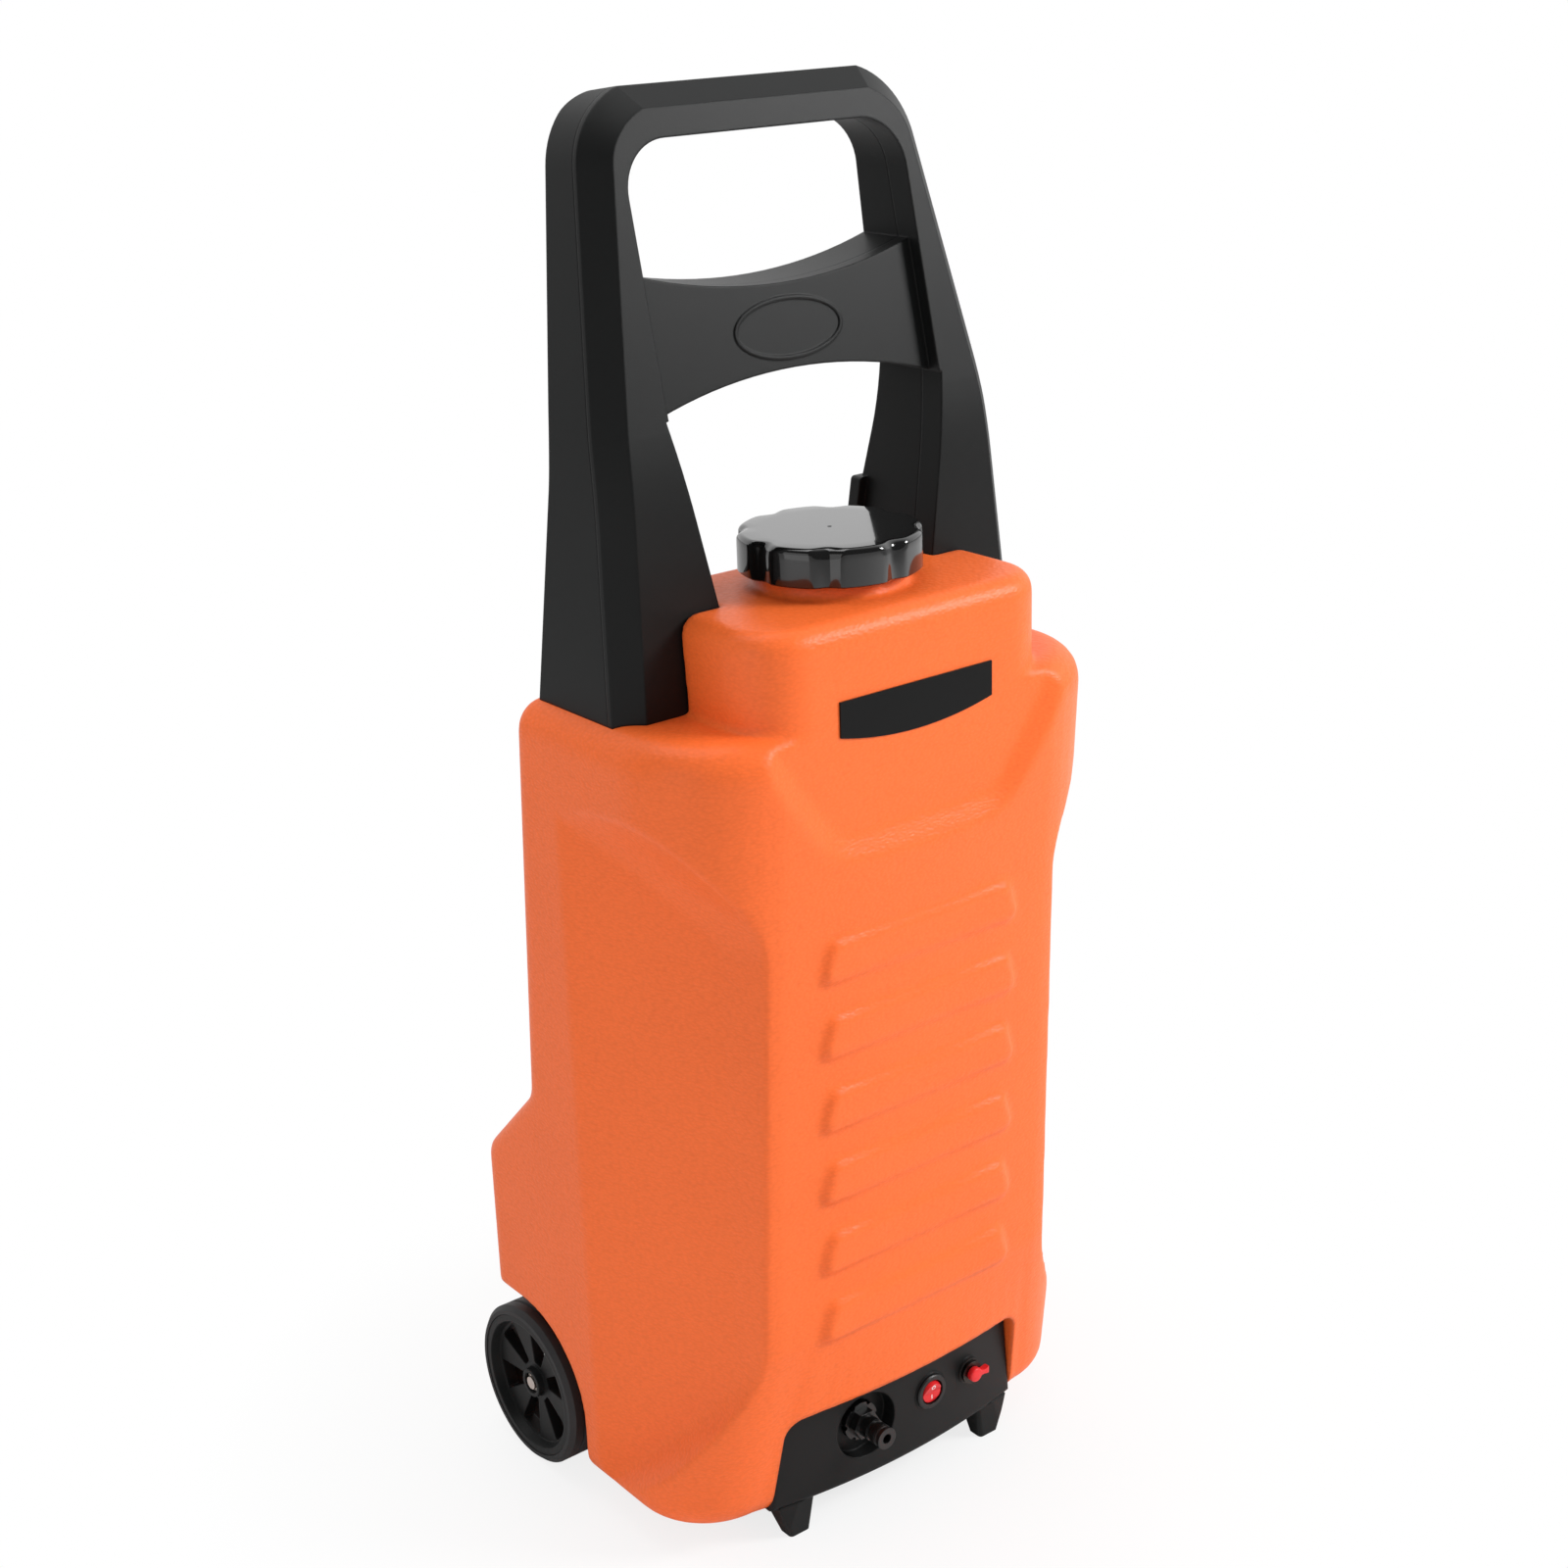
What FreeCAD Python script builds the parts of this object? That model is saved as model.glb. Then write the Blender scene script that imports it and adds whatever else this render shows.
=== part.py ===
import FreeCAD, Part
import math
import os

# Cordless trolley water tank for car washing. A blow-moulded tank stands on two rear wheels
# and two front feet. A pump, a battery and their fittings sit in a bay under the tank.
# A two-shell handle is bolted behind the filler head.
# Millimetres. X is the user's right when facing the front, front is -Y, up is +Z, floor is Z 0.
# The finished pieces are moved so that the origin is the middle of the footprint.

V = FreeCAD.Vector

# Tank envelope
tank_width = 374.0
tank_bottom = 22.0
shoulder_top = 622.0
front_knee_z = 171.0
front_chest_z = 476.0
front_low_y = -96.0
front_knee_y = -110.6
front_chest_y = -120.2
front_top_y = -130.0
front_low_bulge = 14.0
front_bulge = 3.0
corner_low_r = 60.0
corner_knee_r = 80.0
corner_top_r = 82.0
shoulder_r = 24.0
bottom_r = 20.0
tank_wall = 5.0

# Rear line of the tank: a leaning back, a 45 degree slope and a hump over the axle
back_top_y = 83.0
waist_y = 102.0
waist_over_arch = 179.5
hump_y = 167.0
hump_over_arch = 114.5
waist_r = 25.0
hump_r = 20.0
rear_corner_r = 15.0

# Filler head on top of the shoulders
head_width = 240.0
head_front_y = -116.5
head_back_y = 48.0
head_rise = 65.0
head_corner_r = 28.0
head_edge_r = 14.0
leg_gap = 0.3

# Chest step: the head plane runs down into the chest inside a V-shaped sloping band
step_low_width = 136.0
step_high_width = 239.0
step_low_drop = 79.0
step_high_drop = 5.0
step_corner_r = 25.0
step_band_ratio = 1.5

# Side relief, a drafted notch behind a front column on each side
column_half_width = 131.0
column_front_y = -118.0
notch_draft = 0.2
relief_start_y = -78.0
crease_y = 33.0
notch_top_drop = 99.0
notch_top_slope = 43.0
notch_top_r = 50.0
notch_low_rise = 152.0
notch_low_slope = 46.0
notch_low_r = 30.0

# Front ribs
rib_count = 6
rib_top_drop = 148.6
rib_pitch = 55.15
rib_height = 27.8
rib_top_half = 78.7
rib_low_half = 87.3
rib_proud = 2.6
rib_corner_r = 6.0

# Filler neck and cap
neck_y = -30.8
neck_flange_r = 52.0
neck_flange_h = 10.2
neck_r = 46.6
neck_bore_r = 41.5
neck_rise = 19.1
cap_r = 61.0
cap_lobes = 12
cap_lobe_depth = 2.0
cap_flute_r = 9.0
cap_height = 26.0
cap_wall = 3.0
cap_rim_width = 9.0
cap_dish = 2.0
cap_edge = 2.5
cap_seat_gap = 0.3
thread_gap = 0.4
liner_t = 1.9
liner_gap = 0.1
vent_r = 1.5

# Wheels and axle
wheel_d = 125.0
tyre_width = 32.0
wheel_proud = 3.0
axle_y = 125.0
axle_d = 10.0
axle_fit = 0.05
arch_gap = 11.5
arch_side_gap = 8.0
rim_flange_r = 55.9
rim_seat_r = 51.0
rim_flange_t = 3.0
rim_setback = 0.5
rim_wall = 3.0
hub_r = 11.0
hub_recess = 4.0
hub_flare = 2.0
rim_round = 2.5
spoke_count = 6
spoke_share = 0.5
spoke_t = 9.0
spoke_recess = 7.0
spoke_turn = 12.0
window_corner_r = 2.0
window_hub_gap = 5.0
window_rim_gap = 0.5
tread_grooves = 2
tread_groove_w = 3.0
tread_groove_d = 2.2
tread_pitch = 9.0
tyre_shoulder = 3.5
tyre_fit = 0.05
washer_t = 2.2
clip_t = 1.5
clip_r = 7.5
clip_gap = 0.1
clip_side_gap = 0.6
end_gap = 0.1

# Bay under the tank, with the panel at its mouth and the tray as its floor
bay_low_half = 117.8
bay_top_half = 109.8
bay_top = 106.0
bay_corner_r = 16.0
bay_rear_y = 105.0
panel_gap = 0.5
panel_front_y = -93.4
panel_front_r = 575.0
panel_t = 3.0
panel_bottom = 27.0
panel_edge_r = 4.0
return_depth = 18.0
lip_h = 10.0
post_r = 6.5
post_x = 84.0
post_front_y = -55.0
post_rear_y = 92.0
post_boss_r = 9.0
post_boss_h = 14.0
base_screw_r = 2.0
base_screw_bite = 12.0
foot_x = 93.0
foot_width = 18.0
foot_front_y = -83.6
foot_length = 13.6
foot_root_x = 95.5
foot_root_width = 31.0
foot_root_length = 24.0
foot_corner_r = 3.0

# Hose connector in its round recess
connector_x = -36.0
connector_z = 71.0
recess_r = 26.0
recess_floor_y = -81.0
recess_wall = 2.5
nose_tip_y = -115.0
nose_r = 8.25
nose_groove_r = 6.9
nose_groove_w = 2.4
nose_groove_at = 3.2
nose_waist_at = 10.0
nose_waist_w = 4.0
connector_bore_r = 3.8
connector_hex = 20.0
connector_hex_h = 7.0
collar_r = 15.0
collar_h = 5.0
collar_notches = 6
collar_notch_r = 2.0
connector_thread_r = 7.8
back_nut_hex = 24.0
back_nut_h = 6.0
connector_tail = 6.0
barb_length = 13.0

# Rocker switch, and the tabs that push-on wires take
tab_w = 4.8
tab_t = 0.8
rocker_x = 25.0
rocker_z = 73.5
rocker_bezel_r = 13.6
rocker_bezel_h = 2.2
rocker_body_r = 11.5
rocker_body_depth = 22.0
rocker_hole_r = 9.9
rocker_button_r = 9.4
rocker_tilt = 12.0
rocker_face = 3.4
rocker_pivot_r = 1.4
rocker_sink = 4.2
rocker_back = 5.0
pad_rise = 0.4
pad_margin = 1.5

# Charging socket and its rubber plug
socket_x = 65.0
socket_z = 73.0
socket_flange_r = 9.0
socket_flange_h = 3.0
socket_body_r = 6.0
socket_depth = 18.0
socket_bore_r = 4.0
socket_pin_r = 1.2
tether_ring_r = 10.0
tether_ring_t = 1.6
plug_r = 7.0
plug_h = 9.0
plug_stem_r = 3.8
plug_stem = 9.0
plug_tab = 15.0
plug_tab_w = 7.0
plug_gap = 0.3

# Pump, battery and hoses inside the bay
pump_x = -52.0
pump_y = 21.0
pump_z = 60.0
pump_head_w = 50.0
pump_head_d = 58.0
pump_head_h = 56.0
pump_edge_r = 8.0
motor_r = 20.5
motor_length = 58.0
port_r = 5.2
port_length = 13.0
port_wall = 1.4
port_collar_h = 3.0
hose_end_gap = 0.3
hose_t = 1.8
hose_fit = 0.05
pressure_switch_r = 10.0
pressure_switch_l = 11.0
bracket_t = 2.5
bracket_width = 40.0
grommet_r = 6.0
grommet_h = 4.5
pump_screw_r = 1.8
outlet_y = 86.0
outlet_flange_r = 13.0
outlet_flange_t = 2.5
outlet_stem_r = 7.5
outlet_body_r = 8.5
outlet_fit = 0.05
outlet_nut_r = 13.0
outlet_nut_t = 5.0
gasket_t = 1.5
strainer_r = 8.0
strainer_h = 24.0
battery_x = 72.0
battery_y = 17.0
battery_w = 62.0
battery_l = 108.0
battery_h = 64.0
battery_edge_r = 4.0
strap_w = 20.0
strap_t = 1.5
strap_ear = 8.0
strap_screw_r = 1.5

# Axle clamps under the rear lobe
clamp_x = 118.0
clamp_w = 24.0
clamp_t = 3.0
clamp_screw_off = 13.5
clamp_screw_r = 2.5
clamp_screw_head = 4.5
clamp_edge = 0.5
clamp_bite = 7.0

# Handle, heights measured up from the shoulders
leg_low_half = 173.6
leg_bend_half = 164.0
leg_bend_rise = 173.0
handle_top_half = 130.5
handle_rise = 389.0
handle_corner_r = 58.0
handle_front_low_y = -34.8
handle_front_bend_y = -21.5
handle_front_bend_rise = 151.7
handle_front_top_y = 33.4
handle_back_low_y = 65.5
handle_back_bend_y = 48.0
handle_back_bend_rise = 163.0
handle_back_top_y = 79.5
handle_top_fall = 7.0
handle_back_r = 12.0
handle_chamfer = 16.0
handle_wall = 3.0
handle_root = 10.0
handle_root_spread = 0.6
parting_depth = 20.5
grip_half = 114.0
grip_top_rise = 355.0
grip_corner_r = 34.0
crossbar_end_top = 274.0
crossbar_mid_top = 257.4
crossbar_end_low = 186.0
crossbar_mid_low = 203.5
crossbar_setback = 10.0
crossbar_low_room = 5.0
crossbar_head_room = 20.0
gap_top_half = 116.0
gap_low_half = 79.5
oval_half_w = 45.0
oval_half_h = 20.0
oval_rise = 229.0
oval_band = 2.5
oval_proud = 0.9
lug_top_rise = 106.0
lug_proud = 7.0
lug_t = 10.0
lug_root = 5.0
lug_corner_r = 5.0
lug_tip_r = 3.0
lug_waist_rise = 6.0
ear_half = 62.0
ear_top_rise = 58.0
ear_low_rise = 12.0
ear_gap = 0.2
bolt_x = 71.0
bolt_low_rise = 22.0
bolt_high_rise = 46.0
bolt_r = 3.0
bolt_head_r = 5.0
bolt_head_h = 3.0
bolt_bite = 12.0
bolt_boss_r = 8.0
bolt_end_gap = 0.5
bolt_boss_end = 4.0
screw_r = 2.0
screw_head_r = 4.0
screw_head_h = 3.0
screw_bite = 12.0
screw_boss_r = 5.0
screw_head_gap = 0.2
screw_head_sink = 0.5
screw_end_gap = 1.0
screw_spots = ((133.0, 90.0), (137.0, 230.0), (52.0, 370.0))

# Badge plate on the head front
badge_half = 65.4
badge_top_rise = 14.0
badge_side_h = 24.0
badge_sag = 8.0
badge_t = 1.2

# Derived positions
half_width = tank_width / 2
head_top = shoulder_top + head_rise
axle_z = wheel_d / 2
axle_r = axle_d / 2
arch_r = wheel_d / 2 + arch_gap
arch_top = axle_z + arch_r
wheel_face_x = half_width + wheel_proud
wheel_inner_x = wheel_face_x - tyre_width
arch_inner_x = wheel_inner_x - arch_side_gap
floor_top = panel_bottom + panel_t
far = 400.0


def xy(z):
    return lambda p: V(p.x, p.y, z)


def xz(y):
    return lambda p: V(p.x, y, p.y)


def yz(x):
    return lambda p: V(x, p.x, p.y)


def along_y(x, z):
    return lambda y: V(x, y, z)


def along_z(x, y):
    return lambda z: V(x, y, z)


def offset_corners(corners, grow):
    """Moves each side of a closed outline outwards; the arcs at its corners keep their centres."""
    count = len(corners)
    area = 0.0
    for i in range(count):
        u, v = corners[i - 1][:2]
        area += u * corners[i][1] - corners[i][0] * v
    side = 1 if area > 0 else -1
    moved = []
    for i, (u, v, r) in enumerate(corners):
        after_u, after_v = corners[(i + 1) % count][:2]
        before = V(u - corners[i - 1][0], v - corners[i - 1][1], 0).normalize()
        after = V(after_u - u, after_v - v, 0).normalize()
        out_before = V(before.y, -before.x, 0) * side
        out_after = V(after.y, -after.x, 0) * side
        shift = (out_before + out_after) * (grow / (1 + out_before.dot(out_after)))
        convex = before.cross(after).z * side > 0
        radius = r + (grow if convex else -grow)
        moved.append((u + shift.x, v + shift.y, max(radius, 0.5) if r else 0))
    return moved


def rounded_wire(corners, place):
    """Closed wire through (u, v, radius) corners, with a tangent arc at each corner."""
    count = len(corners)
    stops = []
    for i, (u, v, r) in enumerate(corners):
        p = V(u, v, 0)
        before = (V(corners[i - 1][0], corners[i - 1][1], 0) - p).normalize()
        after = (V(corners[(i + 1) % count][0], corners[(i + 1) % count][1], 0) - p).normalize()
        if r == 0:
            stops.append((p, None, p))
            continue
        half = before.getAngle(after) / 2
        reach = r / math.tan(half)
        bulge = p + (before + after).normalize() * (r / math.sin(half) - r)
        stops.append((p + before * reach, bulge, p + after * reach))
    edges = []
    for i, (start, bulge, end) in enumerate(stops):
        if bulge is not None:
            edges.append(Part.Arc(place(start), place(bulge), place(end)).toShape())
        following = stops[(i + 1) % count][0]
        if (following - end).Length > 1e-6:
            edges.append(Part.LineSegment(place(end), place(following)).toShape())
    return Part.Wire(edges)


def prism(corners, place, reach):
    return Part.Face(rounded_wire(corners, place)).extrude(reach)


def box(x0, x1, y0, y1, z0, z1):
    return Part.makeBox(x1 - x0, y1 - y0, z1 - z0, V(x0, y0, z0))


def rod(r, start, end):
    return Part.makeCylinder(r, (end - start).Length, start, end - start)


def tube(outer, inner, start, end):
    return rod(outer, start, end).cut(rod(inner, start, end))


def hexagon(across, start, end):
    """Hexagonal bar along Y between two points."""
    corner = across / math.sqrt(3)
    points = []
    for i in range(7):
        turn = math.radians(60 * i)
        points.append(V(start.x + corner * math.cos(turn), start.y, start.z + corner * math.sin(turn)))
    return Part.Face(Part.makePolygon(points)).extrude(end - start)


def mirrored(shape):
    return shape.mirror(V(0, 0, 0), V(1, 0, 0))


def both_sides(shape):
    return [shape, mirrored(shape)]


def joined(shape, others):
    return shape.fuse(others).removeSplitter()


def level_edges(shape, z):
    """Edges that lie wholly at one height."""
    found = []
    for edge in shape.Edges:
        bounds = edge.BoundBox
        if abs(bounds.ZMin - z) < 0.01 and abs(bounds.ZMax - z) < 0.01:
            found.append(edge)
    return found


def tank_section(z, front, bulge, corner, inset):
    """Level outline of the tank: a bowed front, rounded front corners and a straight back."""
    half = half_width - inset
    front += inset
    corner -= inset
    back = hump_y - inset
    edge_x = half - corner
    edge_y = front + bulge
    reach = corner / math.sqrt(2)
    mid = V(edge_x + reach, edge_y + corner - reach, z)
    left_mid = V(-mid.x, mid.y, z)
    return Part.Wire([
        Part.Arc(V(-edge_x, edge_y, z), V(0, front, z), V(edge_x, edge_y, z)).toShape(),
        Part.Arc(V(edge_x, edge_y, z), mid, V(half, edge_y + corner, z)).toShape(),
        Part.LineSegment(V(half, edge_y + corner, z), V(half, back, z)).toShape(),
        Part.LineSegment(V(half, back, z), V(-half, back, z)).toShape(),
        Part.LineSegment(V(-half, back, z), V(-half, edge_y + corner, z)).toShape(),
        Part.Arc(V(-half, edge_y + corner, z), left_mid, V(-edge_x, edge_y, z)).toShape(),
    ])


def rear_prism(inset):
    """Side profile of the tank's back, as wide as the tank, with its rear corners rounded."""
    line = [
        (-far, -far, 0),
        (-far, shoulder_top, 0),
        (back_top_y, shoulder_top, shoulder_r),
        (waist_y, arch_top + waist_over_arch, waist_r),
        (hump_y, arch_top + hump_over_arch, hump_r),
        (hump_y, -far, 0),
    ]
    half = half_width - inset
    solid = prism(offset_corners(line, -inset), yz(-half), V(2 * half, 0, 0))
    chain = []
    for edge in solid.Edges:
        bounds = edge.BoundBox
        upright = abs(bounds.YMin - bounds.YMax) < 0.01 and bounds.YMin > 0
        if bounds.XLength < 0.01 and upright:
            chain.append(edge)
    if inset:
        return solid.makeChamfer(rear_corner_r * 0.6, chain)
    return solid.makeFillet(rear_corner_r, chain)


def tank_stations(inset):
    """Level outlines of the tank from the bottom up."""
    return [
        (tank_bottom + inset, front_low_y, front_low_bulge, corner_low_r),
        (front_knee_z, front_knee_y, front_bulge, corner_knee_r),
        (front_chest_z, front_chest_y, front_bulge, corner_top_r),
        (shoulder_top - inset, front_top_y, front_bulge, corner_top_r),
    ]


def tank_shell_form(inset):
    """Main form of the tank without its head, smaller by inset all round."""
    sections = [tank_section(z, front, bulge, corner, inset)
                for z, front, bulge, corner in tank_stations(inset)]
    form = Part.makeLoft(sections, True, True)
    form = form.makeFillet(shoulder_r - inset, level_edges(form, shoulder_top - inset))
    form = form.makeFillet(bottom_r - inset, level_edges(form, tank_bottom + inset))
    return form.common(rear_prism(inset))


def faceted_section(z, front, bulge, corner, inset):
    """The tank's level outline in flat steps, for the hollow inside."""
    half = half_width - inset
    front += inset
    corner -= inset
    edge_x = half - corner
    edge_y = front + bulge
    side = []
    for turn in (0, 30, 60, 90):
        angle = math.radians(turn)
        side.append((edge_x + corner * math.sin(angle), edge_y + corner * (1 - math.cos(angle))))
    back = hump_y - inset
    points = [(-x, y) for x, y in side[::-1]] + side + [(half, back), (-half, back)]
    return Part.makePolygon([V(x, y, z) for x, y in points + points[:1]])


def tank_hollow():
    """Inside of the tank: as the outside, smaller by the wall, with flat corners."""
    inset = tank_wall
    low, knee, chest, top = tank_stations(inset)
    cut = (shoulder_r - inset) * 0.7
    floor_cut = (bottom_r - inset) * 0.7
    sections = [
        faceted_section(*low, inset + floor_cut),
        faceted_section(low[0] + floor_cut, *low[1:], inset),
        faceted_section(*knee, inset),
        faceted_section(*chest, inset),
        faceted_section(top[0] - cut, *top[1:], inset),
        faceted_section(*top, inset + cut),
    ]
    form = Part.makeLoft(sections, True, True).common(rear_prism(inset))
    head = head_form(inset)
    return joined(form, [head]).cut(relief_tools(inset))


def leg_front_line(shift):
    """Front line of the handle legs in the side view, moved to the rear by shift."""
    return [
        (handle_front_low_y + shift, shoulder_top, 0),
        (handle_front_bend_y + shift, shoulder_top + handle_front_bend_rise, far),
        (handle_front_top_y + shift, shoulder_top + handle_rise, 0),
    ]


def behind_leg_front(shift):
    """Everything to the rear of the legs' front line, as a wide prism."""
    low, bend, top = leg_front_line(shift)
    slope = (bend[0] - low[0]) / (bend[1] - low[1])
    lean = (top[0] - bend[0]) / (top[1] - bend[1])
    corners = [
        (low[0] - slope * 60, low[1] - 60, 0),
        bend,
        (top[0] + lean * 60, top[1] + 60, 0),
        (far, top[1] + 60, 0),
        (far, low[1] - 60, 0),
    ]
    return prism(corners, yz(-far), V(2 * far, 0, 0))


def leg_inner_corners(grow):
    """Space between the legs, seen from the front: a wedge that widens upwards."""
    slope = (gap_top_half - gap_low_half) / crossbar_end_low
    top = crossbar_end_low + 60
    return offset_corners([
        (-gap_low_half + slope * 60, shoulder_top - 60, 0),
        (gap_low_half - slope * 60, shoulder_top - 60, 0),
        (gap_low_half + slope * top, shoulder_top + top, 0),
        (-gap_low_half - slope * top, shoulder_top + top, 0),
    ], grow)


def head_form(inset):
    """Filler head: wide in front of the legs and narrow between them."""
    half = head_width / 2
    plan = [
        (-half, head_front_y, head_corner_r),
        (half, head_front_y, head_corner_r),
        (half, head_back_y, rear_corner_r),
        (-half, head_back_y, rear_corner_r),
    ]
    low = shoulder_top - head_rise
    top = head_top - inset
    block = prism(offset_corners(plan, -inset), xy(low), V(0, 0, top - low))
    rim = level_edges(block, top)
    if inset:
        block = block.makeChamfer(head_edge_r * 0.5, rim)
    else:
        block = block.makeFillet(head_edge_r, rim)
    between = prism(leg_inner_corners(-leg_gap - inset), xz(-far), V(0, 2 * far, 0))
    front_part = block.cut(behind_leg_front(-leg_gap - inset))
    return front_part.fuse(block.common(between)).removeSplitter()


def chest_step(grow):
    """Tool that sinks the chest to the head plane inside a sloping V-shaped band."""
    low_z = shoulder_top - step_low_drop
    high_z = shoulder_top - step_high_drop
    low = step_low_width / 2
    high = step_high_width / 2
    line = [
        (-low, low_z, step_corner_r),
        (low, low_z, step_corner_r),
        (high, high_z, 0),
        (high, high_z + far, 0),
        (-high, high_z + far, 0),
        (-high, high_z, 0),
    ]
    depth = 30.0
    floor_y = head_front_y + grow
    inner = rounded_wire(offset_corners(line, grow), xz(floor_y))
    outer = rounded_wire(offset_corners(line, grow + depth * step_band_ratio), xz(floor_y - depth))
    return Part.makeLoft([inner, outer], True, True)


def side_notch(grow):
    """Drafted notch behind the front column, cut off by the slanting recess plane."""
    top_z = shoulder_top - notch_top_drop
    low_z = tank_bottom + notch_low_rise
    reach = half_width + 60 - column_half_width
    line = [
        (column_half_width, low_z, notch_low_r),
        (column_half_width + reach, low_z - reach * math.tan(math.radians(notch_low_slope)), 0),
        (column_half_width + reach, top_z + reach * math.tan(math.radians(notch_top_slope)), 0),
        (column_half_width, top_z, notch_top_r),
    ]
    ahead = 30.0
    behind = crease_y - column_front_y + 20
    front_line = offset_corners(line, grow + ahead * notch_draft)
    rear_line = offset_corners(line, grow - behind * notch_draft)
    front = rounded_wire(front_line, xz(column_front_y - ahead))
    rear = rounded_wire(rear_line, xz(column_front_y + behind))
    tool = Part.makeLoft([front, rear], True, True)
    start_x = column_half_width + (relief_start_y - column_front_y) * notch_draft
    run = V(half_width - start_x, crease_y - relief_start_y, 0)
    inward = V(-run.y, run.x, 0).normalize()
    start = V(start_x, relief_start_y, 0) - run * 2 + inward * grow
    end = V(half_width, crease_y, 0) + run + inward * grow
    plan = Part.makePolygon([start, end, end - inward * far, start - inward * far, start])
    plan.translate(V(0, 0, -far))
    outside = Part.Face(plan).extrude(V(0, 0, 4 * far))
    return tool.common(outside)


def wheel_arch(grow):
    """Arch over one wheel, open to the rear."""
    r = arch_r + grow
    low = -far
    edges = [
        Part.LineSegment(V(0, axle_y - r, low), V(0, axle_y - r, axle_z)).toShape(),
        Part.Arc(
            V(0, axle_y - r, axle_z),
            V(0, axle_y - r / math.sqrt(2), axle_z + r / math.sqrt(2)),
            V(0, axle_y, axle_z + r),
        ).toShape(),
        Part.LineSegment(V(0, axle_y, axle_z + r), V(0, far, axle_z + r)).toShape(),
        Part.LineSegment(V(0, far, axle_z + r), V(0, far, low)).toShape(),
        Part.LineSegment(V(0, far, low), V(0, axle_y - r, low)).toShape(),
    ]
    solid = Part.Face(Part.Wire(edges)).extrude(V(far, 0, 0))
    solid.translate(V(arch_inner_x - grow, 0, 0))
    return solid


def bay_corners():
    slope = (bay_low_half - bay_top_half) / (bay_top - tank_bottom)
    foot = bay_low_half + slope * far
    return [
        (-foot, tank_bottom - far, 0),
        (foot, tank_bottom - far, 0),
        (bay_top_half, bay_top, bay_corner_r),
        (-bay_top_half, bay_top, bay_corner_r),
    ]


def base_bay(grow):
    """Bay under the tank, open to the front and below."""
    length = far + bay_rear_y + grow
    return prism(offset_corners(bay_corners(), grow), xz(-far), V(0, length, 0))


def rear_underside(grow):
    """Step in the tank's underside that the axle lies against."""
    half = arch_inner_x + 1
    top = axle_z + (grow + axle_r if grow else 0)
    return box(-half, half, bay_rear_y - grow - 1, far, -far, top)


def relief_tools(grow):
    tools = [chest_step(grow), base_bay(grow), rear_underside(grow)]
    tools += both_sides(side_notch(grow))
    tools += both_sides(wheel_arch(grow))
    return tools


def front_y_at(form, z):
    """Front surface of a form on its centre line."""
    line = Part.LineSegment(V(0, -far, z), V(0, 0, z)).toShape()
    return line.common(form).BoundBox.YMin


def front_ribs(form):
    """Six shallow ribs with sloping sides, standing on the tank's front."""
    ribs = []
    for i in range(rib_count):
        top = shoulder_top - rib_top_drop - i * rib_pitch
        low = top - rib_height
        corners = [
            (-rib_low_half, low, rib_corner_r),
            (rib_low_half, low, rib_corner_r),
            (rib_top_half, top, rib_corner_r),
            (-rib_top_half, top, rib_corner_r),
        ]
        root = rounded_wire(offset_corners(corners, rib_proud), xz(0))
        face = rounded_wire(offset_corners(corners, -rib_proud / 2), xz(-rib_proud * 2.5))
        rib = Part.makeLoft([root, face], True, True)
        middle = (top + low) / 2
        lean = (front_y_at(form, low) - front_y_at(form, top)) / rib_height
        rib.rotate(V(0, 0, middle), V(1, 0, 0), math.degrees(math.atan(lean)))
        rib.translate(V(0, front_y_at(form, middle) + rib_proud * 1.5, 0))
        ribs.append(rib)
    return ribs


def post_spots():
    return [V(x, y, 0) for x in (-post_x, post_x) for y in (post_front_y, post_rear_y)]


def bolt_spots():
    rises = (bolt_low_rise, bolt_high_rise)
    return [V(x, 0, shoulder_top + rise) for x in (-bolt_x, bolt_x) for rise in rises]


def clamp_screw_spots():
    spots = []
    for x in (-clamp_x, clamp_x):
        for side in (-1, 1):
            spots.append(V(x, axle_y + side * clamp_screw_off, 0))
    return spots


def neck_form():
    base = V(0, neck_y, head_top - tank_wall)
    flange_top = V(0, neck_y, head_top + neck_flange_h)
    top = V(0, neck_y, head_top + neck_flange_h + neck_rise)
    return rod(neck_flange_r, base, flange_top).fuse(rod(neck_r, flange_top, top))


def tank():
    body = joined(tank_shell_form(0), [head_form(0)]).cut(relief_tools(0))
    body = joined(body, front_ribs(body) + [neck_form()])
    body = body.cut(tank_hollow())
    bosses = []
    for spot in post_spots():
        at = along_z(spot.x, spot.y)
        bosses.append(rod(post_boss_r, at(bay_top), at(bay_top + post_boss_h)))
    for spot in bolt_spots():
        at = along_y(spot.x, spot.z)
        bosses.append(rod(bolt_boss_r, at(head_back_y - bolt_bite - bolt_boss_end), at(head_back_y)))
    body = joined(body, bosses)
    top = head_top + neck_flange_h + neck_rise
    holes = [rod(neck_bore_r, V(0, neck_y, head_top - 2 * tank_wall), V(0, neck_y, top + 1))]
    holes.append(rod(axle_r + axle_fit, V(-half_width, axle_y, axle_z), V(half_width, axle_y, axle_z)))
    outlet = along_z(connector_x, outlet_y)
    holes.append(rod(outlet_stem_r + outlet_fit, outlet(bay_top - 1), outlet(bay_top + tank_wall + 4)))
    for spot in post_spots():
        at = along_z(spot.x, spot.y)
        holes.append(rod(base_screw_r, at(bay_top - 1), at(bay_top + base_screw_bite)))
    for spot in bolt_spots():
        at = along_y(spot.x, spot.z)
        holes.append(rod(bolt_r, at(head_back_y - bolt_bite), at(far)))
    for spot in clamp_screw_spots():
        at = along_z(spot.x, spot.y)
        holes.append(rod(clamp_screw_r, at(axle_z - 1), at(axle_z + clamp_bite)))
    return body.cut(holes)



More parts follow.
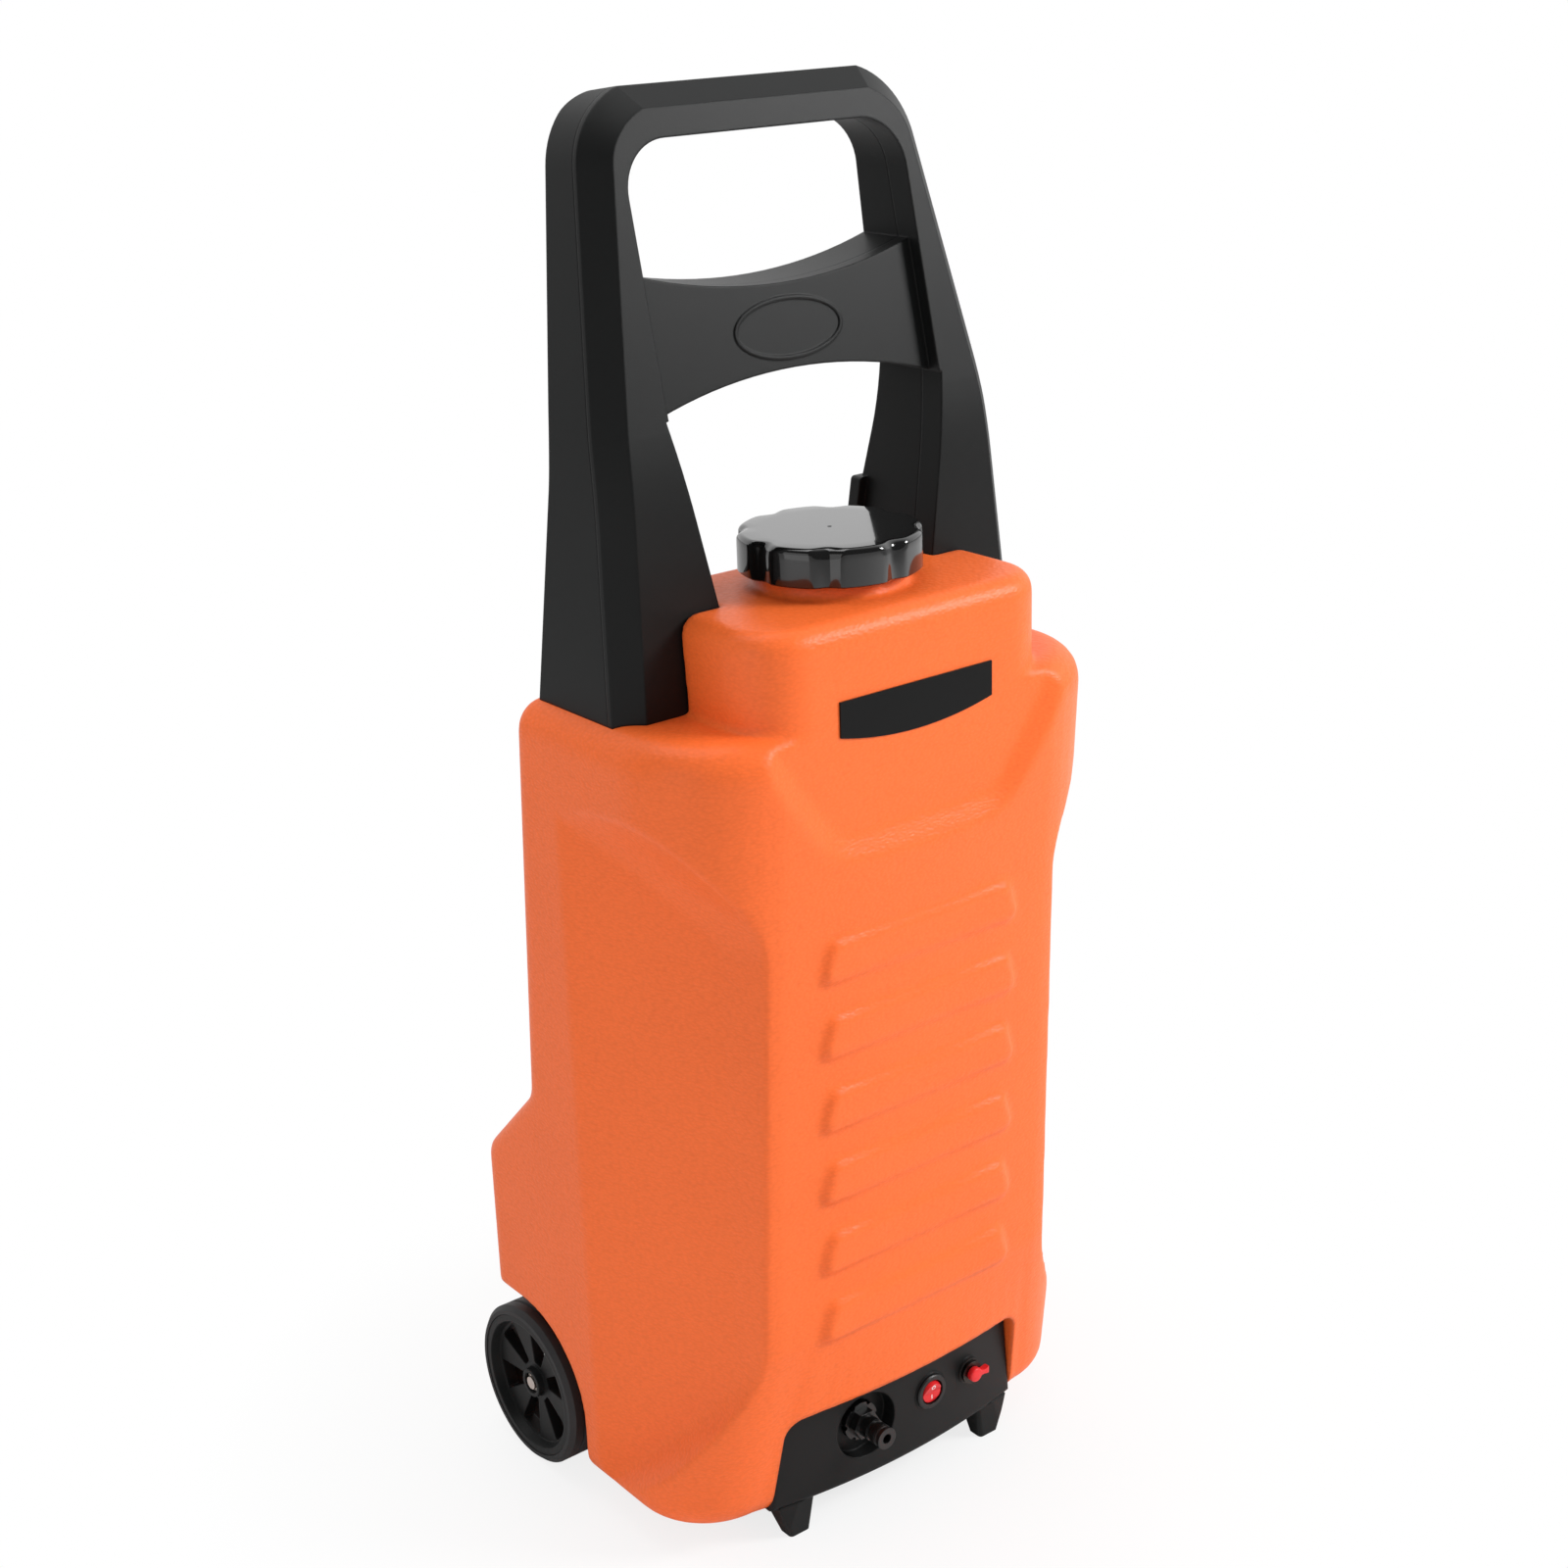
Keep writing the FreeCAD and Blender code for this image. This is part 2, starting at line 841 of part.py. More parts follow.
def filler_cap():
    """Screw cap with shallow flutes round its edge, a raised rim, a sunken disc and a vent hole."""
    low = head_top + neck_flange_h + cap_seat_gap
    top = low + cap_height
    centre = V(0, neck_y, 0)
    cap = rod(cap_r, centre + V(0, 0, low), centre + V(0, 0, top))
    cap = cap.makeChamfer(cap_edge, level_edges(cap, top)[:1])
    tools = []
    for i in range(cap_lobes):
        turn = 2 * math.pi * i / cap_lobes
        reach = cap_r + cap_flute_r - cap_lobe_depth
        spot = centre + V(reach * math.cos(turn), reach * math.sin(turn), 0)
        tools.append(rod(cap_flute_r, spot + V(0, 0, low - 1), spot + V(0, 0, top + 1)))
    disc_r = cap_r - cap_lobe_depth - cap_rim_width
    tools.append(rod(disc_r, centre + V(0, 0, top - cap_dish), centre + V(0, 0, top + 1)))
    hollow_top = top - cap_dish - cap_wall
    tools.append(rod(neck_r + thread_gap, centre + V(0, 0, low - 1), centre + V(0, 0, hollow_top)))
    tools.append(rod(vent_r, centre + V(0, 0, low), centre + V(0, 0, top + 1)))
    return cap.cut(tools)


def cap_liner():
    """Soft sealing disc under the cap's top, a ring so that the vent stays open."""
    top = head_top + neck_flange_h + cap_seat_gap + cap_height - cap_dish - cap_wall - liner_gap
    return tube(neck_r, vent_r * 2, V(0, neck_y, top - liner_t), V(0, neck_y, top))


def handle_outline(bend_r):
    return [
        (leg_low_half + handle_root_spread, shoulder_top - handle_root, 0),
        (leg_bend_half, shoulder_top + leg_bend_rise, bend_r),
        (handle_top_half, shoulder_top + handle_rise, handle_corner_r),
        (-handle_top_half, shoulder_top + handle_rise, handle_corner_r),
        (-leg_bend_half, shoulder_top + leg_bend_rise, bend_r),
        (-leg_low_half - handle_root_spread, shoulder_top - handle_root, 0),
    ]


def handle_side_outline(bend_r):
    top = shoulder_top + handle_rise
    slope = (handle_front_bend_y - handle_front_low_y) / handle_front_bend_rise
    lean = (handle_back_bend_y - handle_back_low_y) / handle_back_bend_rise
    return [
        (handle_front_low_y - slope * handle_root, shoulder_top - handle_root, 0),
        (handle_front_bend_y, shoulder_top + handle_front_bend_rise, bend_r),
        (handle_front_top_y, top, 0),
        (handle_back_top_y, top - handle_top_fall, handle_back_r),
        (handle_back_bend_y, shoulder_top + handle_back_bend_rise, bend_r / 2),
        (handle_back_low_y - lean * handle_root, shoulder_top - handle_root, 0),
    ]


def arched_opening(half_low, half_top, low_z, top_z, low_mid, top_mid, top_r, grow):
    """Opening between the legs: straight sides, and arcs or rounded corners above and below."""
    low = low_z - grow
    top = top_z + grow
    edges = []
    left_low = V(-half_low - grow, 0, low)
    right_low = V(half_low + grow, 0, low)
    if low_mid is None:
        edges.append(Part.LineSegment(left_low, right_low).toShape())
    else:
        edges.append(Part.Arc(left_low, V(0, 0, low_mid - grow), right_low).toShape())
    if top_mid is None:
        r = top_r + grow
        bend = r - r / math.sqrt(2)
        right = half_top + grow
        place = xz(0)
        right_side = V(right, top - r, 0)
        right_bend = V(right - bend, top - bend, 0)
        right_end = V(right - r, top, 0)
        left_end = V(-right_end.x, top, 0)
        left_bend = V(-right_bend.x, right_bend.y, 0)
        left_side = V(-right, right_side.y, 0)
        edges.append(Part.LineSegment(right_low, place(right_side)).toShape())
        edges.append(Part.Arc(place(right_side), place(right_bend), place(right_end)).toShape())
        edges.append(Part.LineSegment(place(right_end), place(left_end)).toShape())
        edges.append(Part.Arc(place(left_end), place(left_bend), place(left_side)).toShape())
        edges.append(Part.LineSegment(place(left_side), left_low).toShape())
    else:
        right_top = V(half_top + grow, 0, top)
        left_top = V(-half_top - grow, 0, top)
        edges.append(Part.LineSegment(right_low, right_top).toShape())
        edges.append(Part.Arc(right_top, V(0, 0, top_mid + grow), left_top).toShape())
        edges.append(Part.LineSegment(left_top, left_low).toShape())
    solid = Part.Face(Part.Wire(edges)).extrude(V(0, 2 * far, 0))
    solid.translate(V(0, -far, 0))
    return solid


def grip_opening(grow):
    base = shoulder_top
    return arched_opening(
        grip_half, grip_half, base + crossbar_end_top, base + grip_top_rise,
        base + crossbar_mid_top, None, grip_corner_r, grow)


def gap_opening(grow):
    base = shoulder_top
    slope = (gap_top_half - gap_low_half) / crossbar_end_low
    return arched_opening(
        gap_low_half - slope * 40, gap_top_half, base - 40, base + crossbar_end_low,
        None, base + crossbar_mid_low, 0, grow)


def crossbar_front(depth):
    """Tool that sets the crossbar's front back from the legs' front."""
    low = shoulder_top + crossbar_end_low - crossbar_low_room
    top = shoulder_top + crossbar_end_top + crossbar_head_room
    corners = [(-grip_half, low, 0), (grip_half, low, 0), (grip_half, top, 0), (-grip_half, top, 0)]
    band = prism(offset_corners(corners, depth - crossbar_setback), xz(-far), V(0, 2 * far, 0))
    return band.cut(behind_leg_front(depth))


def handle_form(inset):
    """Whole handle before it is split into its shells."""
    bend_r = 0 if inset else far
    front = prism(offset_corners(handle_outline(bend_r), -inset), xz(-far), V(0, 2 * far, 0))
    side = prism(offset_corners(handle_side_outline(bend_r), -inset), yz(-far), V(2 * far, 0, 0))
    form = front.common(side)
    ridge = front_ridge_edges(form, inset)
    form = form.makeChamfer(handle_chamfer - inset * (2 - math.sqrt(2)), ridge)
    return form.cut([grip_opening(inset), gap_opening(inset), crossbar_front(crossbar_setback + inset)])


def front_ridge_edges(form, inset):
    """Edges between the front face and the outer sides and top."""
    tool = behind_leg_front(inset + 1.0)
    found = []
    for edge in form.Edges:
        middle = edge.valueAt((edge.FirstParameter + edge.LastParameter) / 2)
        if tool.isInside(middle, 0.001, True):
            continue
        if abs(middle.z - (shoulder_top - handle_root + inset)) < 2:
            continue
        bounds = edge.BoundBox
        if bounds.XLength > 2 * (handle_top_half - handle_corner_r) + 60:
            continue
        found.append(edge)
    return found


def handle_half(front_half):
    """One moulded shell of the handle: the front one ends at the parting line."""
    walls = handle_form(0).cut(handle_form(handle_wall))
    behind = behind_leg_front(parting_depth)
    shell = walls.cut(behind) if front_half else walls.common(behind)
    right = shell.common(box(0, far, -far, far, 0, 4 * far))
    return joined(right, [mirrored(right)])


def screw_axes():
    """Screws that join the shells, as (x, z) on both legs and on the top bar."""
    return [V(side * x, 0, shoulder_top + rise) for x, rise in screw_spots for side in (-1, 1)]


def parting_y(z):
    """Depth of the parting line at one height."""
    low, bend, top = leg_front_line(parting_depth)
    if z < bend[1]:
        return low[0] + (bend[0] - low[0]) * (z - low[1]) / (bend[1] - low[1])
    return bend[0] + (top[0] - bend[0]) * (z - bend[1]) / (top[1] - bend[1])


def screw_bosses(form, front_half):
    """Round bosses from the shell's wall to the parting line."""
    behind = behind_leg_front(parting_depth)
    bosses = []
    for spot in screw_axes():
        at = along_y(spot.x, spot.z)
        column = rod(screw_boss_r, at(-far), at(far)).common(form)
        bosses.append(column.cut(behind) if front_half else column.common(behind))
    return bosses


def boss_back_y(spot):
    """Rear surface of the handle on a screw's axis."""
    line = Part.LineSegment(V(spot.x, -far, spot.z), V(spot.x, far, spot.z)).toShape()
    return line.common(handle_form(0)).BoundBox.YMax


def handle_front_shell():
    form = handle_form(0)
    shell = joined(handle_half(True), screw_bosses(form, True))
    holes = []
    for spot in screw_axes():
        at = along_y(spot.x, spot.z)
        holes.append(rod(screw_r, at(parting_y(spot.z) - screw_bite), at(far)))
    shell = joined(shell, [oval_ring()])
    return seated_on_tank(shell.cut(holes))


def oval_ring():
    """Shallow raised oval on the crossbar."""
    centre = V(0, -far, shoulder_top + oval_rise)
    reach = V(0, 2 * far, 0)
    outer = oval_prism(centre, oval_half_w, oval_half_h, reach)
    inner = oval_prism(centre, oval_half_w - oval_band, oval_half_h - oval_band, reach)
    ahead = behind_leg_front(crossbar_setback - oval_proud)
    return outer.cut(inner).common(ahead).cut(behind_leg_front(crossbar_setback + handle_wall / 2))


def oval_prism(centre, half_w, half_h, reach):
    oval = Part.Ellipse(V(0, 0, 0), half_w, half_h).toShape()
    oval.rotate(V(0, 0, 0), V(1, 0, 0), 90)
    oval.translate(centre)
    return Part.Face(Part.Wire([oval])).extrude(reach)


def lug_corners():
    """Fixing lug on the right leg's inner side, seen from the front."""
    slope = (gap_top_half - gap_low_half) / crossbar_end_low
    inner = gap_low_half + slope * lug_top_rise
    low_inner = gap_low_half + slope * ear_low_rise
    return [
        (ear_half, shoulder_top + ear_low_rise, lug_corner_r),
        (low_inner + lug_root, shoulder_top + ear_low_rise, 0),
        (inner + lug_root, shoulder_top + lug_top_rise, 0),
        (inner - lug_proud, shoulder_top + lug_top_rise, lug_tip_r),
        (inner - lug_proud * 2, shoulder_top + ear_top_rise + lug_waist_rise, lug_tip_r * 2),
        (ear_half, shoulder_top + ear_top_rise, lug_corner_r),
    ]


def handle_rear_shell():
    form = handle_form(0)
    back = head_back_y + ear_gap
    lug = prism(lug_corners(), xz(back), V(0, lug_t, 0))
    shell = joined(handle_half(False), screw_bosses(form, False) + both_sides(lug))
    shell = shell.cut(handle_lug_relief())
    holes = []
    for spot in screw_axes():
        at = along_y(spot.x, spot.z)
        holes.append(rod(screw_r, at(-far), at(far)))
        holes.append(rod(screw_head_r, at(boss_back_y(spot) - screw_head_h), at(far)))
    for spot in bolt_spots():
        at = along_y(spot.x, spot.z)
        holes.append(rod(bolt_r, at(0), at(far)))
    return seated_on_tank(shell.cut(holes))


def handle_lug_relief():
    """Keeps the lugs out of the hollow inside the legs."""
    hollow = handle_form(handle_wall).common(behind_leg_front(parting_depth))
    return hollow.cut(Part.makeCompound(screw_bosses(handle_form(0), False)))


def seated_on_tank(shape):
    """Ends the legs on the tank's rounded shoulder."""
    return shape.cut(tank_shell_form(0))


def handle_screws():
    screws = []
    for spot in screw_axes():
        at = along_y(spot.x, spot.z)
        back_y = boss_back_y(spot) - screw_head_h
        shank = rod(screw_r, at(parting_y(spot.z) - screw_bite + screw_end_gap), at(back_y))
        head = rod(screw_head_r - screw_head_gap, at(back_y), at(back_y + screw_head_h - screw_head_sink))
        screws.append(shank.fuse(head).removeSplitter())
    return Part.makeCompound(screws)


def handle_bolts():
    bolts = []
    back = head_back_y + ear_gap + lug_t
    for spot in bolt_spots():
        at = along_y(spot.x, spot.z)
        shank = rod(bolt_r, at(head_back_y - bolt_bite + bolt_end_gap), at(back))
        head = hexagon(bolt_head_r * 2, at(back), at(back + bolt_head_h))
        bolts.append(shank.fuse(head).removeSplitter())
    return Part.makeCompound(bolts)


def badge_plate():
    """Plain dark plate on the head's front, with a bowed lower edge."""
    top = shoulder_top + badge_top_rise
    low = top - badge_side_h
    place = xz(head_front_y)
    edges = [
        Part.LineSegment(place(V(-badge_half, top, 0)), place(V(badge_half, top, 0))).toShape(),
        Part.LineSegment(place(V(badge_half, top, 0)), place(V(badge_half, low, 0))).toShape(),
        Part.Arc(
            place(V(badge_half, low, 0)),
            place(V(0, low - badge_sag, 0)),
            place(V(-badge_half, low, 0)),
        ).toShape(),
        Part.LineSegment(place(V(-badge_half, low, 0)), place(V(-badge_half, top, 0))).toShape(),
    ]
    return Part.Face(Part.Wire(edges)).extrude(V(0, -badge_t, 0))


def axle():
    half = wheel_face_x - hub_recess
    return rod(axle_r, V(-half, axle_y, axle_z), V(half, axle_y, axle_z))


def wheel_profile_solid(points):
    """Turns a closed (x, radius) outline about the axle."""
    wire = Part.makePolygon([V(x, axle_y, axle_z + r) for x, r in points + points[:1]])
    return Part.Face(wire).revolve(V(0, axle_y, axle_z), V(1, 0, 0), 360)


def right_wheel():
    """Spoked plastic wheel: hub, wedge spokes and a rim with two flanges for the tyre."""
    outer = wheel_face_x - rim_setback
    inner = wheel_inner_x + rim_setback
    seat_out = outer - rim_flange_t
    seat_in = inner + rim_flange_t
    rim_in = rim_seat_r - rim_wall
    spoke_out = outer - spoke_recess
    spoke_in = spoke_out - spoke_t
    hub_out = wheel_face_x - hub_recess
    hub_in = arch_inner_x + washer_t + 2 * end_gap
    bore = axle_r + axle_fit
    solid = wheel_profile_solid([
        (hub_in, bore),
        (hub_out - hub_recess, bore),
        (hub_out - hub_recess, clip_r + clip_side_gap),
        (hub_out, clip_r + clip_side_gap),
        (hub_out, hub_r),
        (spoke_out - hub_flare, hub_r + 1),
        (spoke_out, rim_in),
        (outer, rim_in + rim_round),
        (outer, rim_flange_r),
        (seat_out, rim_flange_r),
        (seat_out, rim_seat_r),
        (seat_in, rim_seat_r),
        (seat_in, rim_flange_r),
        (inner, rim_flange_r),
        (inner, rim_in),
        (spoke_in, rim_in),
        (spoke_in - hub_flare, hub_r + 1),
        (hub_in, hub_r),
    ])
    step = 360.0 / spoke_count
    open_half = math.radians(step * (1 - spoke_share) / 2)
    near = hub_r + window_hub_gap
    away = rim_in - window_rim_gap
    windows = []
    for i in range(spoke_count):
        corners = []
        for r, side in ((near, -1), (away, -1), (away, 1), (near, 1)):
            u = axle_y + r * math.sin(side * open_half)
            v = axle_z + r * math.cos(open_half)
            corners.append((u, v, window_corner_r))
        window = prism(corners, yz(spoke_in - 6), V(spoke_t + 12, 0, 0))
        window.rotate(V(0, axle_y, axle_z), V(1, 0, 0), spoke_turn + i * step)
        windows.append(window)
    return solid.cut(windows)


def right_tyre():
    """Rubber tyre between the rim's flanges, with V-shaped grooves round its tread."""
    outer_r = wheel_d / 2
    outer = wheel_face_x
    inner = wheel_inner_x
    seat_out = outer - rim_setback - rim_flange_t - tyre_fit
    seat_in = inner + rim_setback + rim_flange_t + tyre_fit
    bead = rim_seat_r + tyre_fit
    flange = rim_flange_r + 2 * tyre_fit
    points = [
        (inner, outer_r - tyre_shoulder),
        (inner, flange),
        (seat_in, flange),
        (seat_in, bead),
        (seat_out, bead),
        (seat_out, flange),
        (outer, flange),
        (outer, outer_r - tyre_shoulder),
        (outer - tyre_shoulder, outer_r),
    ]
    for i in range(tread_grooves):
        x = (outer + inner) / 2 + ((tread_grooves - 1) / 2 - i) * tread_pitch
        points.append((x + tread_groove_w / 2, outer_r))
        points.append((x, outer_r - tread_groove_d))
        points.append((x - tread_groove_w / 2, outer_r))
    points.append((inner + tyre_shoulder, outer_r))
    return wheel_profile_solid(points)


def axle_ring(outer_r, start_x, thickness):
    """Ring round the axle on both sides of the tank."""
    start = V(start_x, axle_y, axle_z)
    ring = tube(outer_r, axle_r + axle_fit, start, start + V(thickness, 0, 0))
    return Part.makeCompound(both_sides(ring))


def wheel_washers():
    return axle_ring(hub_r - 1, arch_inner_x + end_gap, washer_t)


def axle_clips():
    return axle_ring(clip_r, wheel_face_x - 2 * hub_recess + clip_gap, clip_t)


def axle_clamps():
    """Saddles that hold the axle in its groove."""
    clamps = []
    reach = clamp_screw_off + clamp_screw_head + clamp_edge
    outer = axle_r + clamp_t
    for x in (-clamp_x, clamp_x):
        start = V(x - clamp_w / 2, axle_y, axle_z)
        end = V(x + clamp_w / 2, axle_y, axle_z)
        flange = box(start.x, end.x, axle_y - reach, axle_y + reach, axle_z - clamp_t, axle_z)
        lower = box(start.x, end.x, axle_y - outer, axle_y + outer, axle_z - outer, axle_z)
        saddle = rod(outer, start, end).common(lower)
        clamp = flange.fuse(saddle).removeSplitter().cut(rod(axle_r + axle_fit, start, end))
        for side in (-1, 1):
            y = axle_y + side * clamp_screw_off
            clamp = clamp.cut(rod(clamp_screw_r, V(x, y, axle_z - clamp_t - 1), V(x, y, axle_z + 1)))
        clamps.append(clamp)
    return Part.makeCompound(clamps)


def clamp_screws():
    screws = []
    for spot in clamp_screw_spots():
        low = axle_z - clamp_t
        shank = rod(clamp_screw_r, V(spot.x, spot.y, low), V(spot.x, spot.y, axle_z + clamp_bite - 0.5))
        head = rod(clamp_screw_head, V(spot.x, spot.y, low - clamp_screw_r), V(spot.x, spot.y, low))
        screws.append(shank.fuse(head).removeSplitter())
    return Part.makeCompound(screws)


def bow_rod(inset):
    """Upright cylinder whose front is the panel's bow, further back by inset."""
    centre_y = panel_front_y + panel_front_r
    return rod(panel_front_r - inset, V(0, centre_y, -far), V(0, centre_y, far))


def bow_y(x):
    """Front of the bowed panel at one place across."""
    return panel_front_y + panel_front_r - math.sqrt(panel_front_r ** 2 - x ** 2)


def housing_form(inset):
    """Outer form of the base housing: the bay's outline behind the panel's bow."""
    outline = offset_corners(bay_corners(), -panel_gap - inset)
    form = prism(outline, xz(-far), V(0, far + bay_rear_y - panel_gap - inset, 0))
    return form.common(box(-far, far, -far, far, panel_bottom + inset, far)).common(bow_rod(inset))


def base_housing():
    """One moulding: bowed panel, floor, low side lips, rear wall, screw posts and two front feet."""
    form = housing_form(0)
    front_edges = [edge for edge in form.Edges if on_bow(edge)]
    form = form.makeFillet(panel_edge_r, front_edges)
    shell = form.cut(housing_form(panel_t))
    return_y = panel_front_y + return_depth
    shell = shell.cut(box(-far, far, return_y, bay_rear_y - 2 * panel_t, floor_top + lip_h, far))
    shell = shell.cut(box(-far, far, return_y, far, axle_z, far))
    fittings = [recess_cup()]
    fittings += [pad(rocker_x, rocker_z, rocker_bezel_r), pad(socket_x, socket_z, socket_flange_r)]
    fittings += both_sides(front_foot())
    holes = housing_holes()
    for spot in post_spots():
        at = along_z(spot.x, spot.y)
        fittings.append(rod(post_r, at(panel_bottom), at(bay_top)))
        holes.append(rod(base_screw_r, at(-1), at(bay_top + 1)))
        holes.append(rod(post_r - 2, at(-1), at(floor_top)))
    return joined(shell, fittings).cut(holes)


def on_bow(edge):
    """True for the edges round the panel's bowed face."""
    middle = edge.valueAt((edge.FirstParameter + edge.LastParameter) / 2)
    return abs(middle.y - bow_y(middle.x)) < 0.01


def housing_holes():
    """Holes for the connector, switch and socket in the panel, and for screws in the floor."""
    front = panel_front_y - 10
    holes = [
        rod(recess_r, V(connector_x, front, connector_z), V(connector_x, recess_floor_y, connector_z)),
        rod(connector_thread_r, V(connector_x, front, connector_z), V(connector_x, 0, connector_z)),
        rod(rocker_body_r, V(rocker_x, front, rocker_z), V(rocker_x, 0, rocker_z)),
        rod(socket_body_r, V(socket_x, front, socket_z), V(socket_x, 0, socket_z)),
    ]
    for spot in grommet_spots():
        holes.append(rod(pump_screw_r, V(spot.x, spot.y, 0), V(spot.x, spot.y, floor_top + 1)))
    for spot in strap_screw_spots():
        holes.append(rod(strap_screw_r, V(spot.x, spot.y, 0), V(spot.x, spot.y, floor_top + 1)))
    return holes


def recess_cup():
    """Round cup behind the panel for the hose connector."""
    start = V(connector_x, panel_front_y, connector_z)
    end = V(connector_x, recess_floor_y + panel_t, connector_z)
    return rod(recess_r + recess_wall, start, end).common(bow_rod(0)).common(housing_form(0))


def front_foot():
    """Tapered foot under the housing's front corner, flush with the panel's face."""
    low = foot_outline(foot_x, foot_front_y, foot_width, foot_length)
    root_y = bow_y(foot_root_x)
    root = foot_outline(foot_root_x, root_y, foot_root_width, foot_root_length)
    foot = Part.makeLoft([rounded_wire(low, xy(0)), rounded_wire(root, xy(panel_bottom + 1))], True, True)
    return foot.common(bow_rod(0))


def foot_outline(x, front_y, width, length):
    half = width / 2
    return [
        (x - half, front_y, foot_corner_r),
        (x + half, front_y, foot_corner_r),
        (x + half, front_y + length, foot_corner_r),
        (x - half, front_y + length, foot_corner_r),
    ]


def pad_front_y(x, r):
    """Front of the flat pad under a round fitting, just proud of the bow."""
    return bow_y(max(abs(x) - r - pad_margin, 0)) - pad_rise


def pad_back_y(x, r):
    return bow_y(abs(x) + r + pad_margin) + panel_t


def pad(x, z, r):
    return rod(r + pad_margin, V(x, pad_front_y(x, r), z), V(x, pad_back_y(x, r), z))


def hose_connector():
    """Bulkhead connector: nose with an O-ring groove, hexagon, thread and hose barb, bored through."""
    at = along_y(connector_x, connector_z)
    hex_back = recess_floor_y - collar_h
    hex_front = hex_back - connector_hex_h
    thread_end = recess_floor_y + panel_t + back_nut_h + connector_tail
    barb_end = thread_end + barb_length
    nose = rod(nose_r, at(nose_tip_y), at(hex_front))
    body = joined(nose, [
        hexagon(connector_hex, at(hex_front), at(hex_back)),
        rod(connector_thread_r, at(hex_back), at(thread_end)),
        rod(port_r, at(thread_end), at(barb_end)),
    ])
    groove_y = nose_tip_y + nose_groove_at
    groove = tube(nose_r + 1, nose_groove_r, at(groove_y), at(groove_y + nose_groove_w))
    waist_y0 = nose_tip_y + nose_waist_at
    waist = tube(nose_r + 1, nose_groove_r, at(waist_y0), at(waist_y0 + nose_waist_w))
    return body.cut([groove, waist, rod(connector_bore_r, at(nose_tip_y - 1), at(barb_end + 1))])


def connector_oring():
    """Sealing ring in the nose's groove."""
    at = along_y(connector_x, connector_z)
    start = nose_tip_y + nose_groove_at + 0.05
    end = start + nose_groove_w - 0.1
    ring = rod(nose_r, at(start), at(end))
    ring = ring.makeChamfer(0.5, rim_edges(ring, start) + rim_edges(ring, end))
    return ring.cut(rod(nose_groove_r, at(start - 1), at(end + 1)))


def connector_collar():
    """Notched collar that seats the connector on the recess floor."""
    at = along_y(connector_x, connector_z)
    ring = tube(collar_r, connector_thread_r, at(recess_floor_y - collar_h), at(recess_floor_y))
    notches = []
    for i in range(collar_notches):
        turn = 2 * math.pi * i / collar_notches
        spot = V(collar_r * math.cos(turn), 0, collar_r * math.sin(turn))
        front, back = at(recess_floor_y - collar_h - 1), at(recess_floor_y + 1)
        notches.append(rod(collar_notch_r, front + spot, back + spot))
    return ring.cut(notches)


def connector_nut():
    at = along_y(connector_x, connector_z)
    start = recess_floor_y + panel_t
    nut = hexagon(back_nut_hex, at(start), at(start + back_nut_h))
    return nut.cut(rod(connector_thread_r, at(start - 1), at(start + back_nut_h + 1)))


def rocker_frame():
    """Round switch body with its bezel, open in front for the button."""
    at = along_y(rocker_x, rocker_z)
    seat = pad_front_y(rocker_x, rocker_bezel_r)
    bezel = rod(rocker_bezel_r, at(seat - rocker_bezel_h), at(seat))
    bezel = bezel.makeChamfer(rocker_bezel_h * 0.4, rim_edges(bezel, seat - rocker_bezel_h))
    body = joined(bezel, [rod(rocker_body_r, at(seat), at(seat + rocker_body_depth))])
    back = seat + rocker_body_depth
    for side in (-1, 1):
        x = rocker_x + side * 5
        body = body.fuse(box(
            x - tab_w / 2, x + tab_w / 2, back, back + 7, rocker_z - tab_t / 2, rocker_z + tab_t / 2))
    centre = at(rocker_axis_y())
    reach = V(rocker_hole_r + 1.2, 0, 0)
    well = rod(rocker_hole_r, at(seat - rocker_bezel_h - 1), centre + V(0, rocker_hole_r, 0))
    pivots = rod(rocker_pivot_r + 0.1, centre - reach, centre + reach)
    return body.removeSplitter().cut([well, pivots])


def rim_edges(shape, y):
    return [edge for edge in shape.Edges
            if abs(edge.BoundBox.YMin - y) < 0.01 and abs(edge.BoundBox.YMax - y) < 0.01]


def rocker_axis_y():
    """Depth of the rocker's pivot behind the bezel's face."""
    return pad_front_y(rocker_x, rocker_bezel_r) - rocker_bezel_h + rocker_sink


def rocker_button():
    """Rocker with a shallow valley across its middle, drawn with its upper half pressed in."""
    axis = V(rocker_x, rocker_axis_y(), rocker_z)
    front_y = axis.y - rocker_face
    stations = [-rocker_face - 1, 0, rocker_back]
    reaches = [math.sqrt(rocker_button_r ** 2 - y ** 2) for y in stations]
    outline = [V(0, y, r) + axis for y, r in zip(stations, reaches)]
    outline = [axis + V(0, stations[0], 0)] + outline + [axis + V(0, stations[-1], 0)]
    button = Part.Face(Part.makePolygon(outline + outline[:1])).revolve(axis, V(0, 1, 0), 360)
    halves = []
    for side in (-1, 1):
        middle = axis.z + side * 20
        cutter = box(axis.x - 20, axis.x + 20, front_y - 40, front_y, middle - 20, middle + 20)
        cutter.rotate(V(axis.x, front_y, axis.z), V(1, 0, 0), side * rocker_tilt)
        halves.append(cutter)
    button = button.cut(halves)
    pivot = rod(rocker_pivot_r, axis - V(rocker_hole_r + 1, 0, 0), axis + V(rocker_hole_r + 1, 0, 0))
    button = button.fuse(pivot).removeSplitter()
    button.rotate(axis, V(1, 0, 0), rocker_tilt)
    return button


